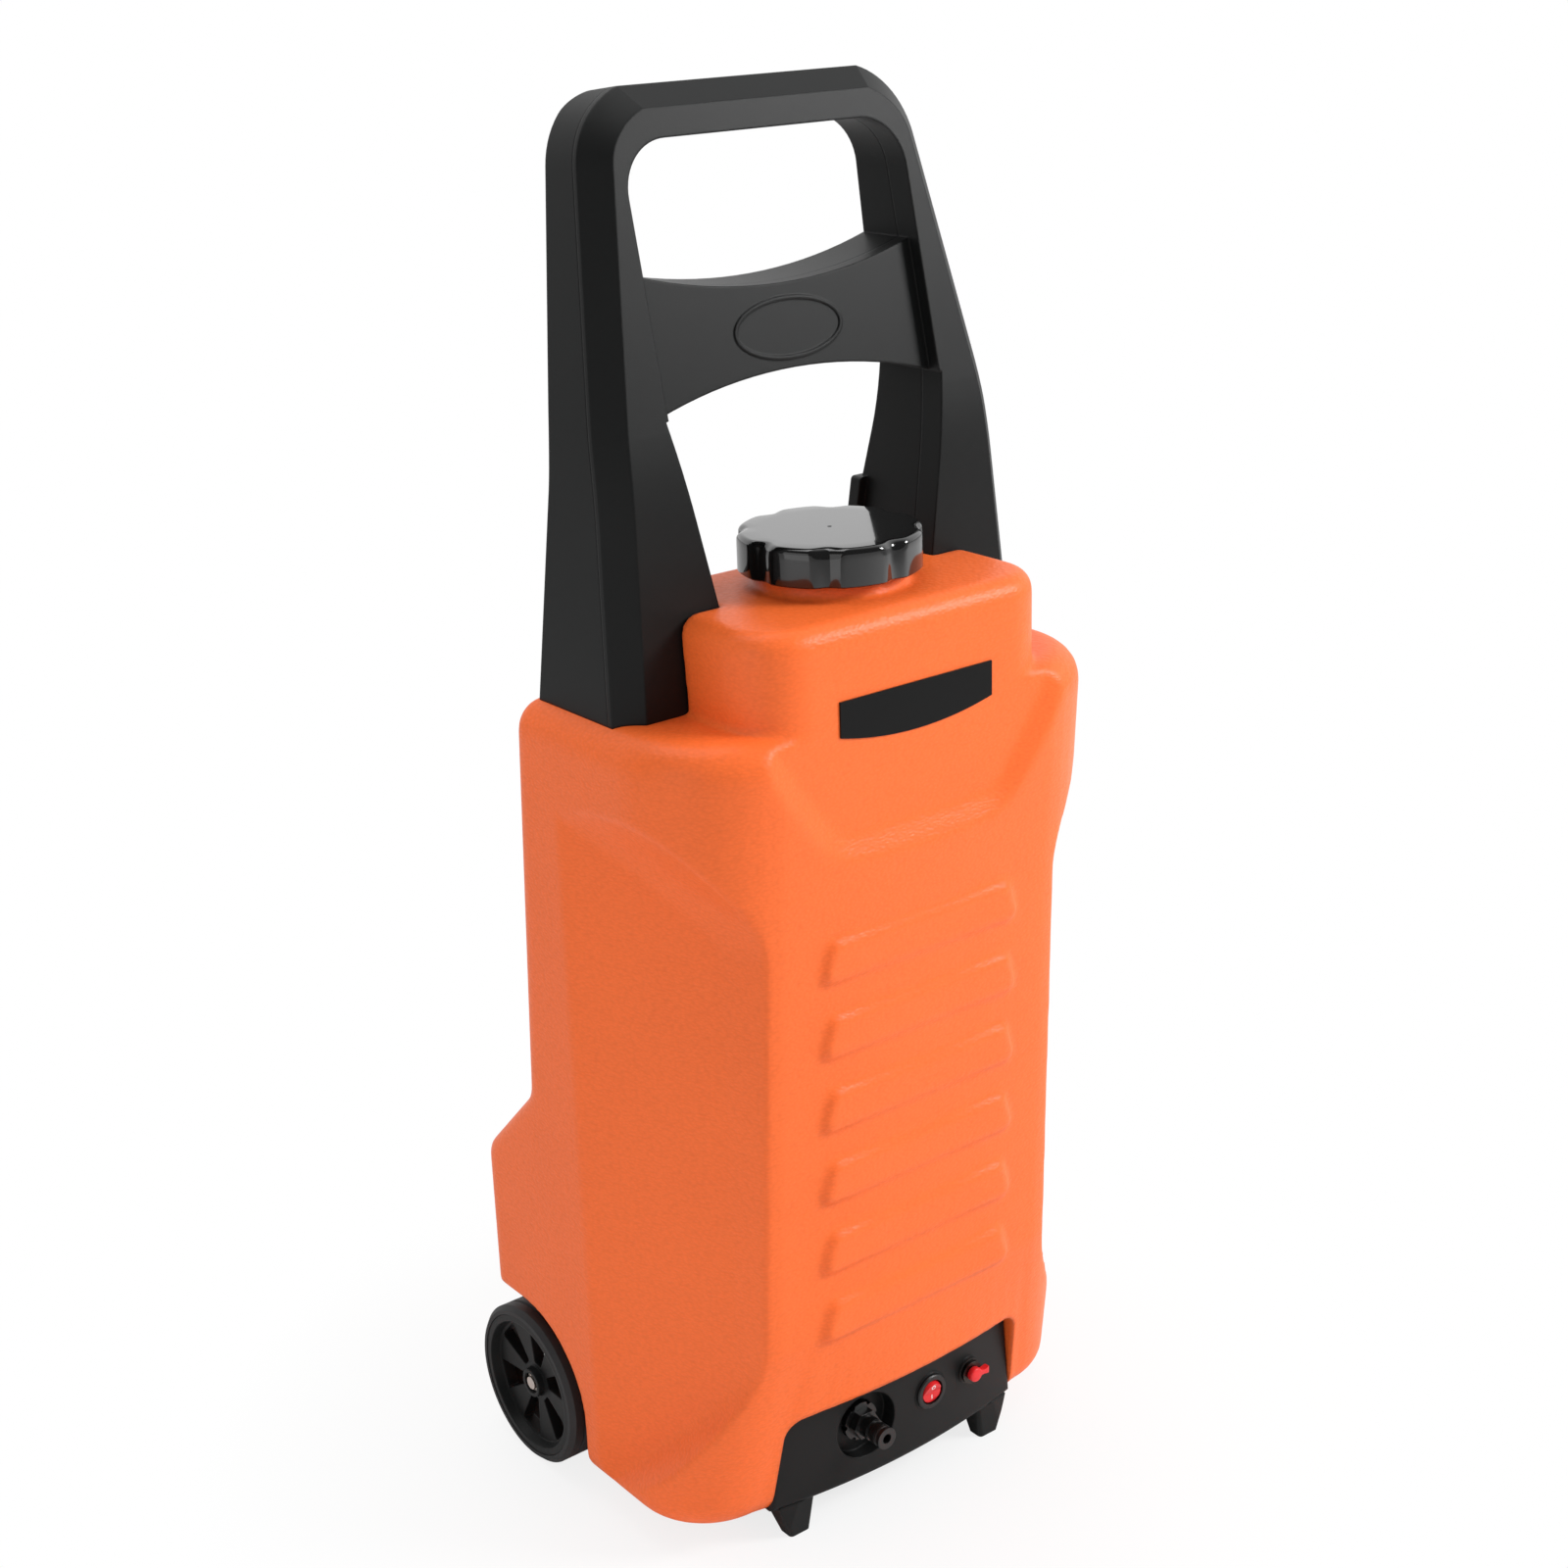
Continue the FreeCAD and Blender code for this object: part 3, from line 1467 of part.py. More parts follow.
def charge_socket():
    """Charging socket: flange, threaded barrel and a blind bore for the charger's plug."""
    at = along_y(socket_x, socket_z)
    seat = pad_front_y(socket_x, socket_flange_r) - tether_ring_t
    body = joined(rod(socket_flange_r, at(seat - socket_flange_h), at(seat)), [
        rod(socket_body_r, at(seat), at(seat + socket_depth)),
    ])
    bore = rod(socket_bore_r, at(seat - socket_flange_h - 1), at(seat + socket_depth - 4))
    pin = rod(socket_pin_r, at(seat - socket_flange_h + 1), at(seat + socket_depth - 3))
    return joined(body.cut(bore), [pin])


def charge_cap_ring():
    """Flat ring of the plug's tether, held behind the socket's flange."""
    at = along_y(socket_x, socket_z)
    seat = pad_front_y(socket_x, socket_flange_r)
    return tube(tether_ring_r, socket_body_r, at(seat - tether_ring_t), at(seat))


def charge_cap():
    """Rubber plug with a hollow stem that goes round the socket's pin, and a pull tab."""
    at = along_y(socket_x, socket_z)
    face = pad_front_y(socket_x, socket_flange_r) - tether_ring_t - socket_flange_h
    front = face - plug_gap - plug_h
    head = rod(plug_r, at(front), at(face - plug_gap))
    head = head.makeChamfer(1.2, rim_edges(head, front))
    stem = tube(plug_stem_r, socket_pin_r + 0.4, at(face - plug_gap), at(face - plug_gap + plug_stem))
    tab = prism([
        (socket_x + plug_r - 2, socket_z - plug_tab_w / 2, 0),
        (socket_x + plug_r + plug_tab, socket_z - plug_tab_w / 2, plug_tab_w / 2.2),
        (socket_x + plug_r + plug_tab, socket_z + plug_tab_w / 2, plug_tab_w / 2.2),
        (socket_x + plug_r - 2, socket_z + plug_tab_w / 2, 0),
    ], xz(front + 2), V(0, 3, 0))
    return joined(head, [stem, tab])


def charge_nut():
    at = along_y(socket_x, socket_z)
    start = pad_back_y(socket_x, socket_flange_r)
    nut = hexagon(socket_body_r * 2.8, at(start), at(start + 4))
    return nut.cut(rod(socket_body_r, at(start - 1), at(start + 5)))


def pump_head():
    """Diaphragm pump head with an inlet port at the back and an outlet port in front."""
    half_d = pump_head_d / 2
    half_h = pump_head_h / 2
    corners = [
        (pump_y - half_d, pump_z - half_h, pump_edge_r),
        (pump_y + half_d, pump_z - half_h, pump_edge_r),
        (pump_y + half_d, pump_z + half_h, pump_edge_r),
        (pump_y - half_d, pump_z + half_h, pump_edge_r),
    ]
    left = pump_x - pump_head_w / 2
    block = prism(corners, yz(left), V(pump_head_w, 0, 0))
    groove = prism(offset_corners(corners, 1), yz(pump_x), V(1.5, 0, 0)).cut(
        prism(offset_corners(corners, -1.2), yz(pump_x - 1), V(4, 0, 0)))
    ports = []
    for side in (-1, 1):
        start = V(connector_x, pump_y + side * (half_d - 1), connector_z)
        end = V(connector_x, pump_y + side * (half_d + port_length), connector_z)
        ports.append(rod(port_r, start, end))
        ports.append(rod(port_r + 3, start, start + V(0, side * (port_collar_h + 1), 0)))
    return joined(block.cut(groove), ports)


def pump_motor():
    """Round motor on the head's right, with a smaller end cap."""
    start = V(pump_x + pump_head_w / 2, pump_y, pump_z)
    can = rod(motor_r, start, start + V(motor_length, 0, 0))
    end = start + V(motor_length, 0, 0)
    cap = rod(motor_r * 0.55, end, end + V(3, 0, 0))
    return joined(can, [cap])


def pressure_switch():
    start = V(pump_x - pump_head_w / 2, pump_y, pump_z)
    end = start - V(pressure_switch_l, 0, 0)
    tabs = []
    for side in (-1, 1):
        y = pump_y + side * 2.8
        tabs.append(box(end.x - 4, end.x, y - tab_t / 2, y + tab_t / 2, pump_z - 3, pump_z + 3))
    return joined(rod(pressure_switch_r, end, start), tabs)


def pump_bracket():
    """Saddle plate under the motor."""
    low = floor_top + grommet_h
    start = pump_x + pump_head_w / 2 + 4
    end = start + bracket_width
    half = pump_head_d / 2
    saddle_half = motor_r * 0.8
    plate = box(start, end, pump_y - half, pump_y + half, low, low + bracket_t)
    saddle_top = pump_z - motor_r * 0.6
    saddle = box(start + 4, end - 4, pump_y - saddle_half, pump_y + saddle_half, low, saddle_top)
    saddle = saddle.cut(rod(motor_r, V(start, pump_y, pump_z), V(end, pump_y, pump_z)))
    holes = []
    for spot in grommet_spots():
        at = along_z(spot.x, spot.y)
        holes.append(rod(pump_screw_r, at(low - 1), at(low + bracket_t + 1)))
    return joined(plate, [saddle]).cut(holes)


def grommet_spots():
    start = pump_x + pump_head_w / 2 + 4
    inset = grommet_r + 1
    return [
        V(x, pump_y + side * (pump_head_d / 2 - inset), 0)
        for x in (start + inset, start + bracket_width - inset) for side in (-1, 1)
    ]


def pump_grommets():
    rings = []
    for spot in grommet_spots():
        low = V(spot.x, spot.y, floor_top)
        rings.append(tube(grommet_r, pump_screw_r, low, low + V(0, 0, grommet_h)))
    return Part.makeCompound(rings)


def pump_screws():
    screws = []
    for spot in grommet_spots():
        low = V(spot.x, spot.y, panel_bottom + 0.5)
        top = V(spot.x, spot.y, floor_top + grommet_h + bracket_t)
        shank = rod(pump_screw_r, low, top)
        head = rod(pump_screw_r * 2, top, top + V(0, 0, 2))
        screws.append(shank.fuse(head).removeSplitter())
    return Part.makeCompound(screws)


def straight_hose(start_y, end_y):
    """Hose pushed over two barbs, in line with the connector."""
    start = V(connector_x, start_y, connector_z)
    end = V(connector_x, end_y, connector_z)
    return tube(port_r + hose_fit + hose_t, port_r + hose_fit, start, end)


def delivery_hose():
    """Hose from the connector's barb to the pump's front port."""
    start = recess_floor_y + panel_t + back_nut_h + connector_tail
    return straight_hose(start + hose_end_gap, pump_y - pump_head_d / 2 - port_collar_h - hose_end_gap)


def suction_hose():
    """Hose from the pump's rear port to the tank's outlet."""
    start = pump_y + pump_head_d / 2 + port_collar_h + hose_end_gap
    return straight_hose(start, outlet_y - outlet_body_r - hose_end_gap)


def tank_outlet():
    """Elbow through the bay's ceiling with a barb towards the pump."""
    at = along_z(connector_x, outlet_y)
    flange_top = bay_top - gasket_t
    flange_low = flange_top - outlet_flange_t
    stem_top = bay_top + tank_wall + outlet_nut_t + 4
    barb_end = V(connector_x, outlet_y - outlet_body_r - port_length, connector_z)
    body = joined(rod(outlet_flange_r, at(flange_low), at(flange_top)), [
        rod(outlet_stem_r, at(flange_top), at(stem_top)),
        rod(outlet_body_r, at(connector_z - outlet_body_r), at(flange_low)),
        rod(port_r, barb_end, at(connector_z)),
    ])
    bore = port_r - port_wall
    bores = [rod(bore, at(connector_z - bore), at(stem_top + 1)), rod(bore, barb_end, at(connector_z))]
    return body.cut(bores)


def outlet_gasket():
    at = along_z(connector_x, outlet_y)
    return tube(outlet_flange_r, outlet_stem_r, at(bay_top - gasket_t), at(bay_top))


def outlet_nut():
    at = along_z(connector_x, outlet_y)
    low = bay_top + tank_wall
    return tube(outlet_nut_r, outlet_stem_r, at(low), at(low + outlet_nut_t))


def inlet_strainer():
    """Slotted strainer over the outlet inside the tank."""
    at = along_z(connector_x, outlet_y)
    low = bay_top + tank_wall + outlet_nut_t
    cup = rod(strainer_r + 2, at(low), at(low + strainer_h))
    cup = cup.cut(rod(outlet_stem_r, at(low - 1), at(low + strainer_h - 2)))
    slots = []
    for i in range(4):
        slot = box(-20, 20, -0.8, 0.8, low + 7, low + strainer_h - 5)
        slot.rotate(V(0, 0, 0), V(0, 0, 1), 45 * i)
        slot.translate(V(connector_x, outlet_y, 0))
        slots.append(slot)
    return cup.cut(slots)


def battery():
    """Battery pack on the tray, with rounded upright edges and two terminals."""
    half_w = battery_w / 2
    half_l = battery_l / 2
    pack = prism([
        (battery_x - half_w, battery_y - half_l, battery_edge_r),
        (battery_x + half_w, battery_y - half_l, battery_edge_r),
        (battery_x + half_w, battery_y + half_l, battery_edge_r),
        (battery_x - half_w, battery_y + half_l, battery_edge_r),
    ], xy(floor_top), V(0, 0, battery_h))
    tabs = []
    for side in (-1, 1):
        x = battery_x + side * half_w * 0.6
        y = battery_y - half_l + 8
        top = floor_top + battery_h
        tabs.append(box(x - tab_w / 2, x + tab_w / 2, y - tab_t / 2, y + tab_t / 2, top, top + 6))
    return joined(pack, tabs)


def battery_strap():
    """Strap over the battery, screwed to the tray beside it."""
    half = battery_w / 2
    top = floor_top + battery_h
    y0 = battery_y - strap_w / 2
    y1 = battery_y + strap_w / 2
    outer = box(battery_x - half - strap_t, battery_x + half + strap_t, y0, y1, floor_top, top + strap_t)
    inner = box(battery_x - half, battery_x + half, y0 - 1, y1 + 1, floor_top - 1, top)
    ears = []
    for side in (-1, 1):
        edge = battery_x + side * (half + strap_t)
        ears.append(box(
            min(edge, edge + side * strap_ear), max(edge, edge + side * strap_ear),
            y0, y1, floor_top, floor_top + strap_t))
    holes = []
    for spot in strap_screw_spots():
        at = along_z(spot.x, spot.y)
        holes.append(rod(strap_screw_r, at(floor_top - 1), at(floor_top + strap_t + 1)))
    return joined(outer.cut(inner), ears).cut(holes)


def strap_screw_spots():
    reach = battery_w / 2 + strap_t + strap_ear / 2
    return [V(battery_x + side * reach, battery_y, 0) for side in (-1, 1)]


def strap_screws():
    screws = []
    for spot in strap_screw_spots():
        low = V(spot.x, spot.y, panel_bottom + 0.5)
        top = V(spot.x, spot.y, floor_top + strap_t)
        shank = rod(strap_screw_r, low, top)
        screws.append(shank.fuse(rod(strap_screw_r * 2, top, top + V(0, 0, 1.5))).removeSplitter())
    return Part.makeCompound(screws)


def base_screws():
    """Long screws up through the tray's posts into the tank."""
    screws = []
    for spot in post_spots():
        at = along_z(spot.x, spot.y)
        shank = rod(base_screw_r - 0.05, at(floor_top), at(bay_top + base_screw_bite - 1))
        head = rod(post_r - 2.2, at(floor_top - 2.5), at(floor_top))
        screws.append(shank.fuse(head).removeSplitter())
    return Part.makeCompound(screws)


PIECES = {
    "tank": tank,
    "filler_cap": filler_cap,
    "cap_liner": cap_liner,
    "handle_front_shell": handle_front_shell,
    "handle_rear_shell": handle_rear_shell,
    "handle_screws": handle_screws,
    "handle_bolts": handle_bolts,
    "badge_plate": badge_plate,
    "axle": axle,
    "axle_clamps": axle_clamps,
    "clamp_screws": clamp_screws,
    "axle_clips": axle_clips,
    "wheel_washers": wheel_washers,
    "right_wheel": right_wheel,
    "left_wheel": lambda: mirrored(right_wheel()),
    "right_tyre": right_tyre,
    "left_tyre": lambda: mirrored(right_tyre()),
    "base_housing": base_housing,
    "base_screws": base_screws,
    "hose_connector": hose_connector,
    "connector_collar": connector_collar,
    "connector_nut": connector_nut,
    "connector_oring": connector_oring,
    "rocker_frame": rocker_frame,
    "rocker_button": rocker_button,
    "charge_socket": charge_socket,
    "charge_cap_ring": charge_cap_ring,
    "charge_cap": charge_cap,
    "charge_nut": charge_nut,
    "pump_head": pump_head,
    "pump_motor": pump_motor,
    "pressure_switch": pressure_switch,
    "pump_bracket": pump_bracket,
    "pump_grommets": pump_grommets,
    "pump_screws": pump_screws,
    "delivery_hose": delivery_hose,
    "suction_hose": suction_hose,
    "tank_outlet": tank_outlet,
    "outlet_gasket": outlet_gasket,
    "outlet_nut": outlet_nut,
    "inlet_strainer": inlet_strainer,
    "battery": battery,
    "battery_strap": battery_strap,
    "strap_screws": strap_screws,
}


def main():
    os.makedirs("parts", exist_ok=True)
    pieces = {name: make() for name, make in PIECES.items()}
    front = pieces["tank"].optimalBoundingBox(False, False).YMin
    back = axle_y + wheel_d / 2
    for name, shape in pieces.items():
        shape.translate(V(0, -(front + back) / 2, 0))
        shape.exportStep("parts/" + name + ".step")


main()
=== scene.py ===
"""Dresses the cordless trolley water tank and sets it in a plain studio."""

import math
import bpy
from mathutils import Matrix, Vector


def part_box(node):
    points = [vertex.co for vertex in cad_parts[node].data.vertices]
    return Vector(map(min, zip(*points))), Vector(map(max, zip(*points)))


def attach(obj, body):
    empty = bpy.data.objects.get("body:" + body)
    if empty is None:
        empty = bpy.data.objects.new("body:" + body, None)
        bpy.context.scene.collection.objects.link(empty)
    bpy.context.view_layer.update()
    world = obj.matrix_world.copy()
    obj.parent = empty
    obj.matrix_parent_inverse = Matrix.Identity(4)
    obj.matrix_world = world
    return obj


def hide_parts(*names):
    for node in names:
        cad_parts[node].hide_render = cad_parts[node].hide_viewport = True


bl_info = {
    "name": "Trolley Water Tank Dresser",
    "version": (1, 0, 0),
    "blender": (4, 5, 0),
    "location": "3D View > Sidebar > Trolley Tank",
    "description": "Gives the trolley water tank its moulded finishes, small marks and studio",
    "category": "Object",
}

import bmesh
import bpy
from bpy.props import FloatProperty, FloatVectorProperty, IntProperty, PointerProperty
from mathutils import Matrix, Vector

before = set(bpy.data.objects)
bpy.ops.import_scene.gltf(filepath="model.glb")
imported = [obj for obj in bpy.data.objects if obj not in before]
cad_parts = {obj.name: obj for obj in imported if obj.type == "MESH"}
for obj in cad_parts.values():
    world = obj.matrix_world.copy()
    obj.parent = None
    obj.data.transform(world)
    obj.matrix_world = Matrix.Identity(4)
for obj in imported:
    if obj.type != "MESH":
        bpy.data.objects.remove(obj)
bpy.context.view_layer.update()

MM = 0.001
WHITE = (1.0, 1.0, 1.0, 1.0)

# Sizes and places in metres, for the finishes and the studio.
METAL_EDGE = 0.0004
O_RISE = 0.0046
I_DROP = 0.0044
I_HALF = 0.0004
CAMERA_SPOT = Vector((-0.9952, -1.2867, 1.1189))
FLOOR_HALF = 30.0

# The floor's own glow at the object, its rise with each metre, and the light in mirrored rays.
FLOOR_GLOW = 0.72
FLOOR_GLOW_RISE = 0.6
MIRRORED_ROOM = 0.12
BACKDROP_WAY = (0.6, 0.78, 0.2)


class Signal:
    """An output socket, with arithmetic that adds Math nodes to its tree."""

    def __init__(self, nodes, socket):
        self.nodes = nodes
        self.socket = socket

    def maths(self, operation, *values):
        return self.nodes.add("ShaderNodeMath", {"operation": operation}, *values)

    def __add__(self, other):
        return self.maths("ADD", self, other)

    def __radd__(self, other):
        return self.maths("ADD", other, self)

    def __sub__(self, other):
        return self.maths("SUBTRACT", self, other)

    def __rsub__(self, other):
        return self.maths("SUBTRACT", other, self)

    def __mul__(self, other):
        return self.maths("MULTIPLY", self, other)

    def __pow__(self, other):
        return self.maths("POWER", self, other)

    def __abs__(self):
        return self.maths("ABSOLUTE", self)

    def __lt__(self, other):
        return self.maths("LESS_THAN", self, other)

    def greater(self, other):
        """The larger of two values."""
        return self.maths("MAXIMUM", self, other)

    def clamped(self):
        """The same value held between 0 and 1."""
        return self.nodes.add("ShaderNodeClamp", None, self)


class Nodes:
    """Adds nodes to one node tree."""

    def __init__(self, tree):
        self.tree = tree

    def join(self, socket, value):
        """Links a signal to a socket, or sets the socket to a plain value."""
        if isinstance(value, Signal):
            self.tree.links.new(value.socket, socket)
        else:
            socket.default_value = value

    def add(self, kind, settings=None, *values, take=None, **named):
        """Adds a node: settings first, then values or links for its sockets in order or by name.

        Gives its first output in use, or the one that take names.
        """
        node = self.tree.nodes.new(kind)
        for key, value in (settings or {}).items():
            setattr(node, key, value)
        open_sockets = {socket.name: socket for socket in reversed(node.inputs) if socket.enabled}
        for socket, value in zip(node.inputs, values):
            self.join(socket, value)
        for key, value in named.items():
            self.join(open_sockets[key.replace("_", " ")], value)
        outputs = [output for output in node.outputs if output.enabled]
        return Signal(self, node.outputs[take] if take else outputs[0])


class Finish(Nodes):
    """One material: a Principled shader and the nodes that feed it."""

    def __init__(self, name, colour, roughness, **sockets):
        self.material = bpy.data.materials.new(name)
        self.material.use_nodes = True
        super().__init__(self.material.node_tree)
        self.shader = self.tree.nodes["Principled BSDF"]
        self.feed("Base Color", (*colour, 1.0))
        self.feed("Roughness", roughness)
        for socket, value in sockets.items():
            self.feed(socket.replace("_", " "), value)

    def feed(self, socket, value):
        self.join(self.shader.inputs[socket], value)

    def place(self, stretch=(1.0, 1.0, 1.0)):
        """Position on the piece, in metres, with each axis scaled."""
        spot = self.add("ShaderNodeTexCoord", take="Object")
        return self.add("ShaderNodeVectorMath", {"operation": "MULTIPLY"}, spot, stretch)

    def axes(self):
        """The position's three numbers."""
        node = self.add("ShaderNodeSeparateXYZ", None, self.place()).socket.node
        return [Signal(self, output) for output in node.outputs]

    def noise(self, size, detail=2.0, warp=0.0, stretch=(1.0, 1.0, 1.0)):
        """Soft noise from 0 to 1 with features of about one size in metres."""
        return self.add("ShaderNodeTexNoise", None, Vector=self.place(stretch), Scale=1 / size,
                        Detail=detail, Distortion=warp)

    def cells(self, size, stretch=(1.0, 1.0, 1.0)):
        """Rounded cells of about one size in metres, low at their middles."""
        settings = {"feature": "SMOOTH_F1"}
        return self.add("ShaderNodeTexVoronoi", settings, Vector=self.place(stretch), Scale=1 / size,
                        Smoothness=0.6)

    def blend(self, mask, colour_a, colour_b):
        """Colour a where the mask is 0 and colour b where it is 1."""
        settings = {"data_type": "RGBA"}
        return self.add("ShaderNodeMix", settings, Factor=mask, A=(*colour_a, 1.0), B=(*colour_b, 1.0))

    def bevel(self, edge):
        """Normal that rounds sharp edges by a given radius, in the shading only."""
        return self.add("ShaderNodeBevel", {"samples": 6}, Radius=edge)

    def relief(self, height, depth, edge):
        """Bump of a given depth in metres, over rounded edges."""
        bump = self.add("ShaderNodeBump", None, Height=height, Distance=depth, Normal=self.bevel(edge))
        self.feed("Normal", bump)

    def rounded(self, edge):
        self.feed("Normal", self.bevel(edge))


def tinted(colour, factor):
    return tuple(min(part * factor, 1.0) for part in colour)


def paint(finish, *nodes):
    """Gives carried-over pieces their finish."""
    for node in nodes:
        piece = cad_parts[node]
        piece.data.materials.clear()
        piece.data.materials.append(finish.material)


def moulded_polyethylene(look):
    """Orange blow-moulded tank wall with a leathery grain of low, wide wrinkles."""
    finish = Finish("moulded_polyethylene", look.colour, look.roughness, Specular_IOR_Level=look.shine)
    wide = (look.grain_stretch, look.grain_stretch, 1.0)
    wrinkles = finish.cells(look.grain_size, wide)
    ripple = finish.noise(look.grain_size * 2, detail=3.0, warp=0.6, stretch=wide)
    grain = 1.0 - wrinkles * 0.75 + ripple * 0.5
    cloud = finish.noise(0.09)
    finish.feed("Base Color", finish.blend(
        (cloud * 0.3 + grain * 0.7).clamped(), tinted(look.colour, 0.8), tinted(look.colour, 1.08)))
    finish.feed("Roughness", look.roughness - (grain - 0.9) * 0.12)
    finish.relief(grain, look.grain_depth, look.edge_radius)
    return finish


def textured_plastic(name, look, edge):
    """Near-black moulded plastic with a very fine spark-eroded grain."""
    finish = Finish(name, look.colour, look.roughness, Specular_IOR_Level=look.shine)
    grain = finish.noise(look.grain_size, detail=3.0)
    cloud = finish.noise(0.06, detail=1.0)
    finish.feed("Base Color", finish.blend(cloud, tinted(look.colour, 0.88), tinted(look.colour, 1.14)))
    finish.feed("Roughness", look.roughness + (grain - 0.5) * 0.14)
    finish.relief(grain, look.grain_depth, edge)
    return finish


def gloss_plastic(name, colour, roughness, edge, coat=0.6):
    """Polished moulded plastic with faint handling marks."""
    finish = Finish(name, colour, roughness, Coat_Weight=coat, Coat_Roughness=0.03)
    smear = finish.noise(0.02, detail=3.0, warp=0.5)
    finish.feed("Roughness", roughness + smear * 0.05)
    finish.rounded(edge)
    return finish


def soft_rubber(name, colour, roughness):
    """Matt rubber with a dusty, uneven surface."""
    finish = Finish(name, colour, roughness)
    grain = finish.noise(0.0009, detail=2.0)
    dust = finish.noise(0.015, detail=3.0)
    finish.feed("Base Color", finish.blend(dust, tinted(colour, 0.85), tinted(colour, 1.3)))
    finish.feed("Roughness", roughness + (grain - 0.5) * 0.2)
    finish.relief(grain, 0.00012, 0.0006)
    return finish


def turned_metal(name, colour, roughness):
    """Machined or plated metal with fine streaks."""
    finish = Finish(name, colour, roughness, Metallic=1.0)
    streak = finish.noise(0.0015, detail=3.0, stretch=(0.2, 1.0, 1.0))
    finish.feed("Roughness", roughness + (streak - 0.5) * 0.22)
    finish.feed("Base Color", finish.blend(streak, tinted(colour, 0.86), tinted(colour, 1.1)))
    finish.rounded(METAL_EDGE)
    return finish


# Sizes in millimetres. Heights are above the floor. Depths run to the rear from a line across
# the tank that lies ahead of the axle, so that fronts are negative.
AXLE_DEPTH = 125.0
AXLE_HEIGHT = 62.5
AXLE = (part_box("axle")[0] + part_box("axle")[1]) / 2
DATUM = Vector((0.0, AXLE.y - AXLE_DEPTH * MM, 0.0))
FAR = 300.0
SHARP_ANGLE = math.radians(38)
LEAST_BEND_R = 0.5

TANK_HALF = 187.0
TANK_LOW = 22.0
SHOULDER = 622.0
SHOULDER_R = 24.0
BOTTOM_R = 20.0
REAR_R = 15.0
LEAST_REAR_R = 1.0
FRONT_STEPS = 8
# Height, front depth, bow and corner radius at each level of the tank, from the bottom up.
STATIONS = (
    (TANK_LOW, -94.0, 17.0, 60.0),
    (171.0, -110.6, 5.0, 80.0),
    (476.0, -120.2, 3.0, 82.0),
    (SHOULDER, -130.0, 3.0, 82.0),
)
# Depth, height and bend radius along the tank's back, from the floor up.
BACK_LINE = ((167.0, 0.0, 0.0), (167.0, 251.0, 20.0), (102.0, 316.0, 25.0), (83.0, SHOULDER, 0.0))

HEAD_HALF = 126.0
HEAD_FRONT = -116.5
HEAD_BACK = 48.0
HEAD_TOP = 687.0
HEAD_ROOT = 60.0
HEAD_CORNER_R = 40.0
HEAD_EDGE_R = 14.0

# Lean and spread of the handle's legs are for each millimetre above the shoulder.
LEG_FRONT = -34.8
LEG_LEAN = 0.0877
LEG_INNER = 79.5
LEG_SPREAD = 0.196
LEG_GAP = 0.8
LEG_ROOT = 70.0
LEG_OVER = 20.0

CHEST_LOW = 543.0
CHEST_LOW_HALF = 68.0
CHEST_TOP = 617.0
CHEST_TOP_HALF = 119.5
CHEST_R = 25.0
CHEST_REACH = 30.0
CHEST_SLOPE = 2.5

# Draft, fall, lift and spread are for each millimetre behind the front of a column.
COLUMN_HALF = 127.0
COLUMN_FRONT = -118.0
COLUMN_DRAFT = 0.3
NOTCH_LOW = 170.0
NOTCH_FALL = 0.87
NOTCH_LOW_R = 60.0
NOTCH_LOW_SLOPE = math.tan(math.radians(51.6))
NOTCH_TOP = 487.0
NOTCH_LIFT = 0.33
NOTCH_TOP_R = 70.0
NOTCH_TOP_SPREAD = 0.9
NOTCH_TOP_SLOPE = math.tan(math.radians(54.8))
NOTCH_PAST = 60.0
NOTCH_START = -30.0
NOTCH_END = 171.0
RECESS_START = 40.0
RECESS_END = 33.0

BAY_TOP = 106.0
BAY_TOP_HALF = 109.8
BAY_LOW_HALF = 145.8
BAY_CORNER_R = 16.0
BAY_BACK = 105.0
ARCH_R = 74.0
ARCH_INNER = 150.0
UNDERSIDE_HALF = 151.0
UNDERSIDE_FRONT = 104.0

RIB_DROP = 148.6
RIB_PITCH = 55.15
RIB_HEIGHT = 27.8
RIB_LOW_HALF = 87.3
RIB_TOP_HALF = 78.7
RIB_CORNER_R = 6.0
RIB_ROOT = 8.0
RIB_DRAW = 1.3

NECK_Y = -30.8
NECK_ROOT = 20.0
NECK_FLANGE_R = 52.0
NECK_FLANGE_H = 10.2
NECK_R = 46.6
NECK_H = 29.3
NECK_BORE_R = 41.5
NECK_BORE = (HEAD_TOP - 17.0, HEAD_TOP + 40.0)
OUTLET_X = -36.0
OUTLET_Y = 86.0
OUTLET_R = 7.6
OUTLET_BORE = (100.0, 116.0)
RELAX = 0.5
KEPT_FACES = 0.1

CAP_LOW = 697.5
CAP_TOP = 723.5
CAP_FOOT = 0.8
CAP_TURN = math.radians(4.2)
CAP_POINTS = 256
CAP_BORE_R = 47.0
CAP_ROOF = 5.0
CAP_TOP_RINGS = (47.0, 30.0, 2.4)
FLUTE_HALF = math.radians(10.0)
FLUTE_FLARE_H = 8.0
FLUTE_FLARE = 0.3
FLUTE_WIDER = 0.35
FLUTE_DEEPER = 0.7
VENT_R = 1.5
VENT_DEPTH = 3.0

PLUG_R = 5.6
PLUG_GAP = 0.2
PLUG_STEM_R = 3.6
PLUG_STEM = 8.0
# Distance ahead of the socket and share of the outline, along the plug's head.
PLUG_PROFILE = ((0.0, 0.92), (0.6, 1.0), (4.0, 1.0), (4.7, 0.94), (5.0, 0.84))
# Degrees round the plug's head. The tab fills the rest.
PLUG_ARC = range(24, 337, 12)
PLUG_TAB = ((8.2, -1.9), (12.4, -2.8), (12.8, -2.4), (12.8, 2.4), (12.4, 2.8), (8.2, 1.9))


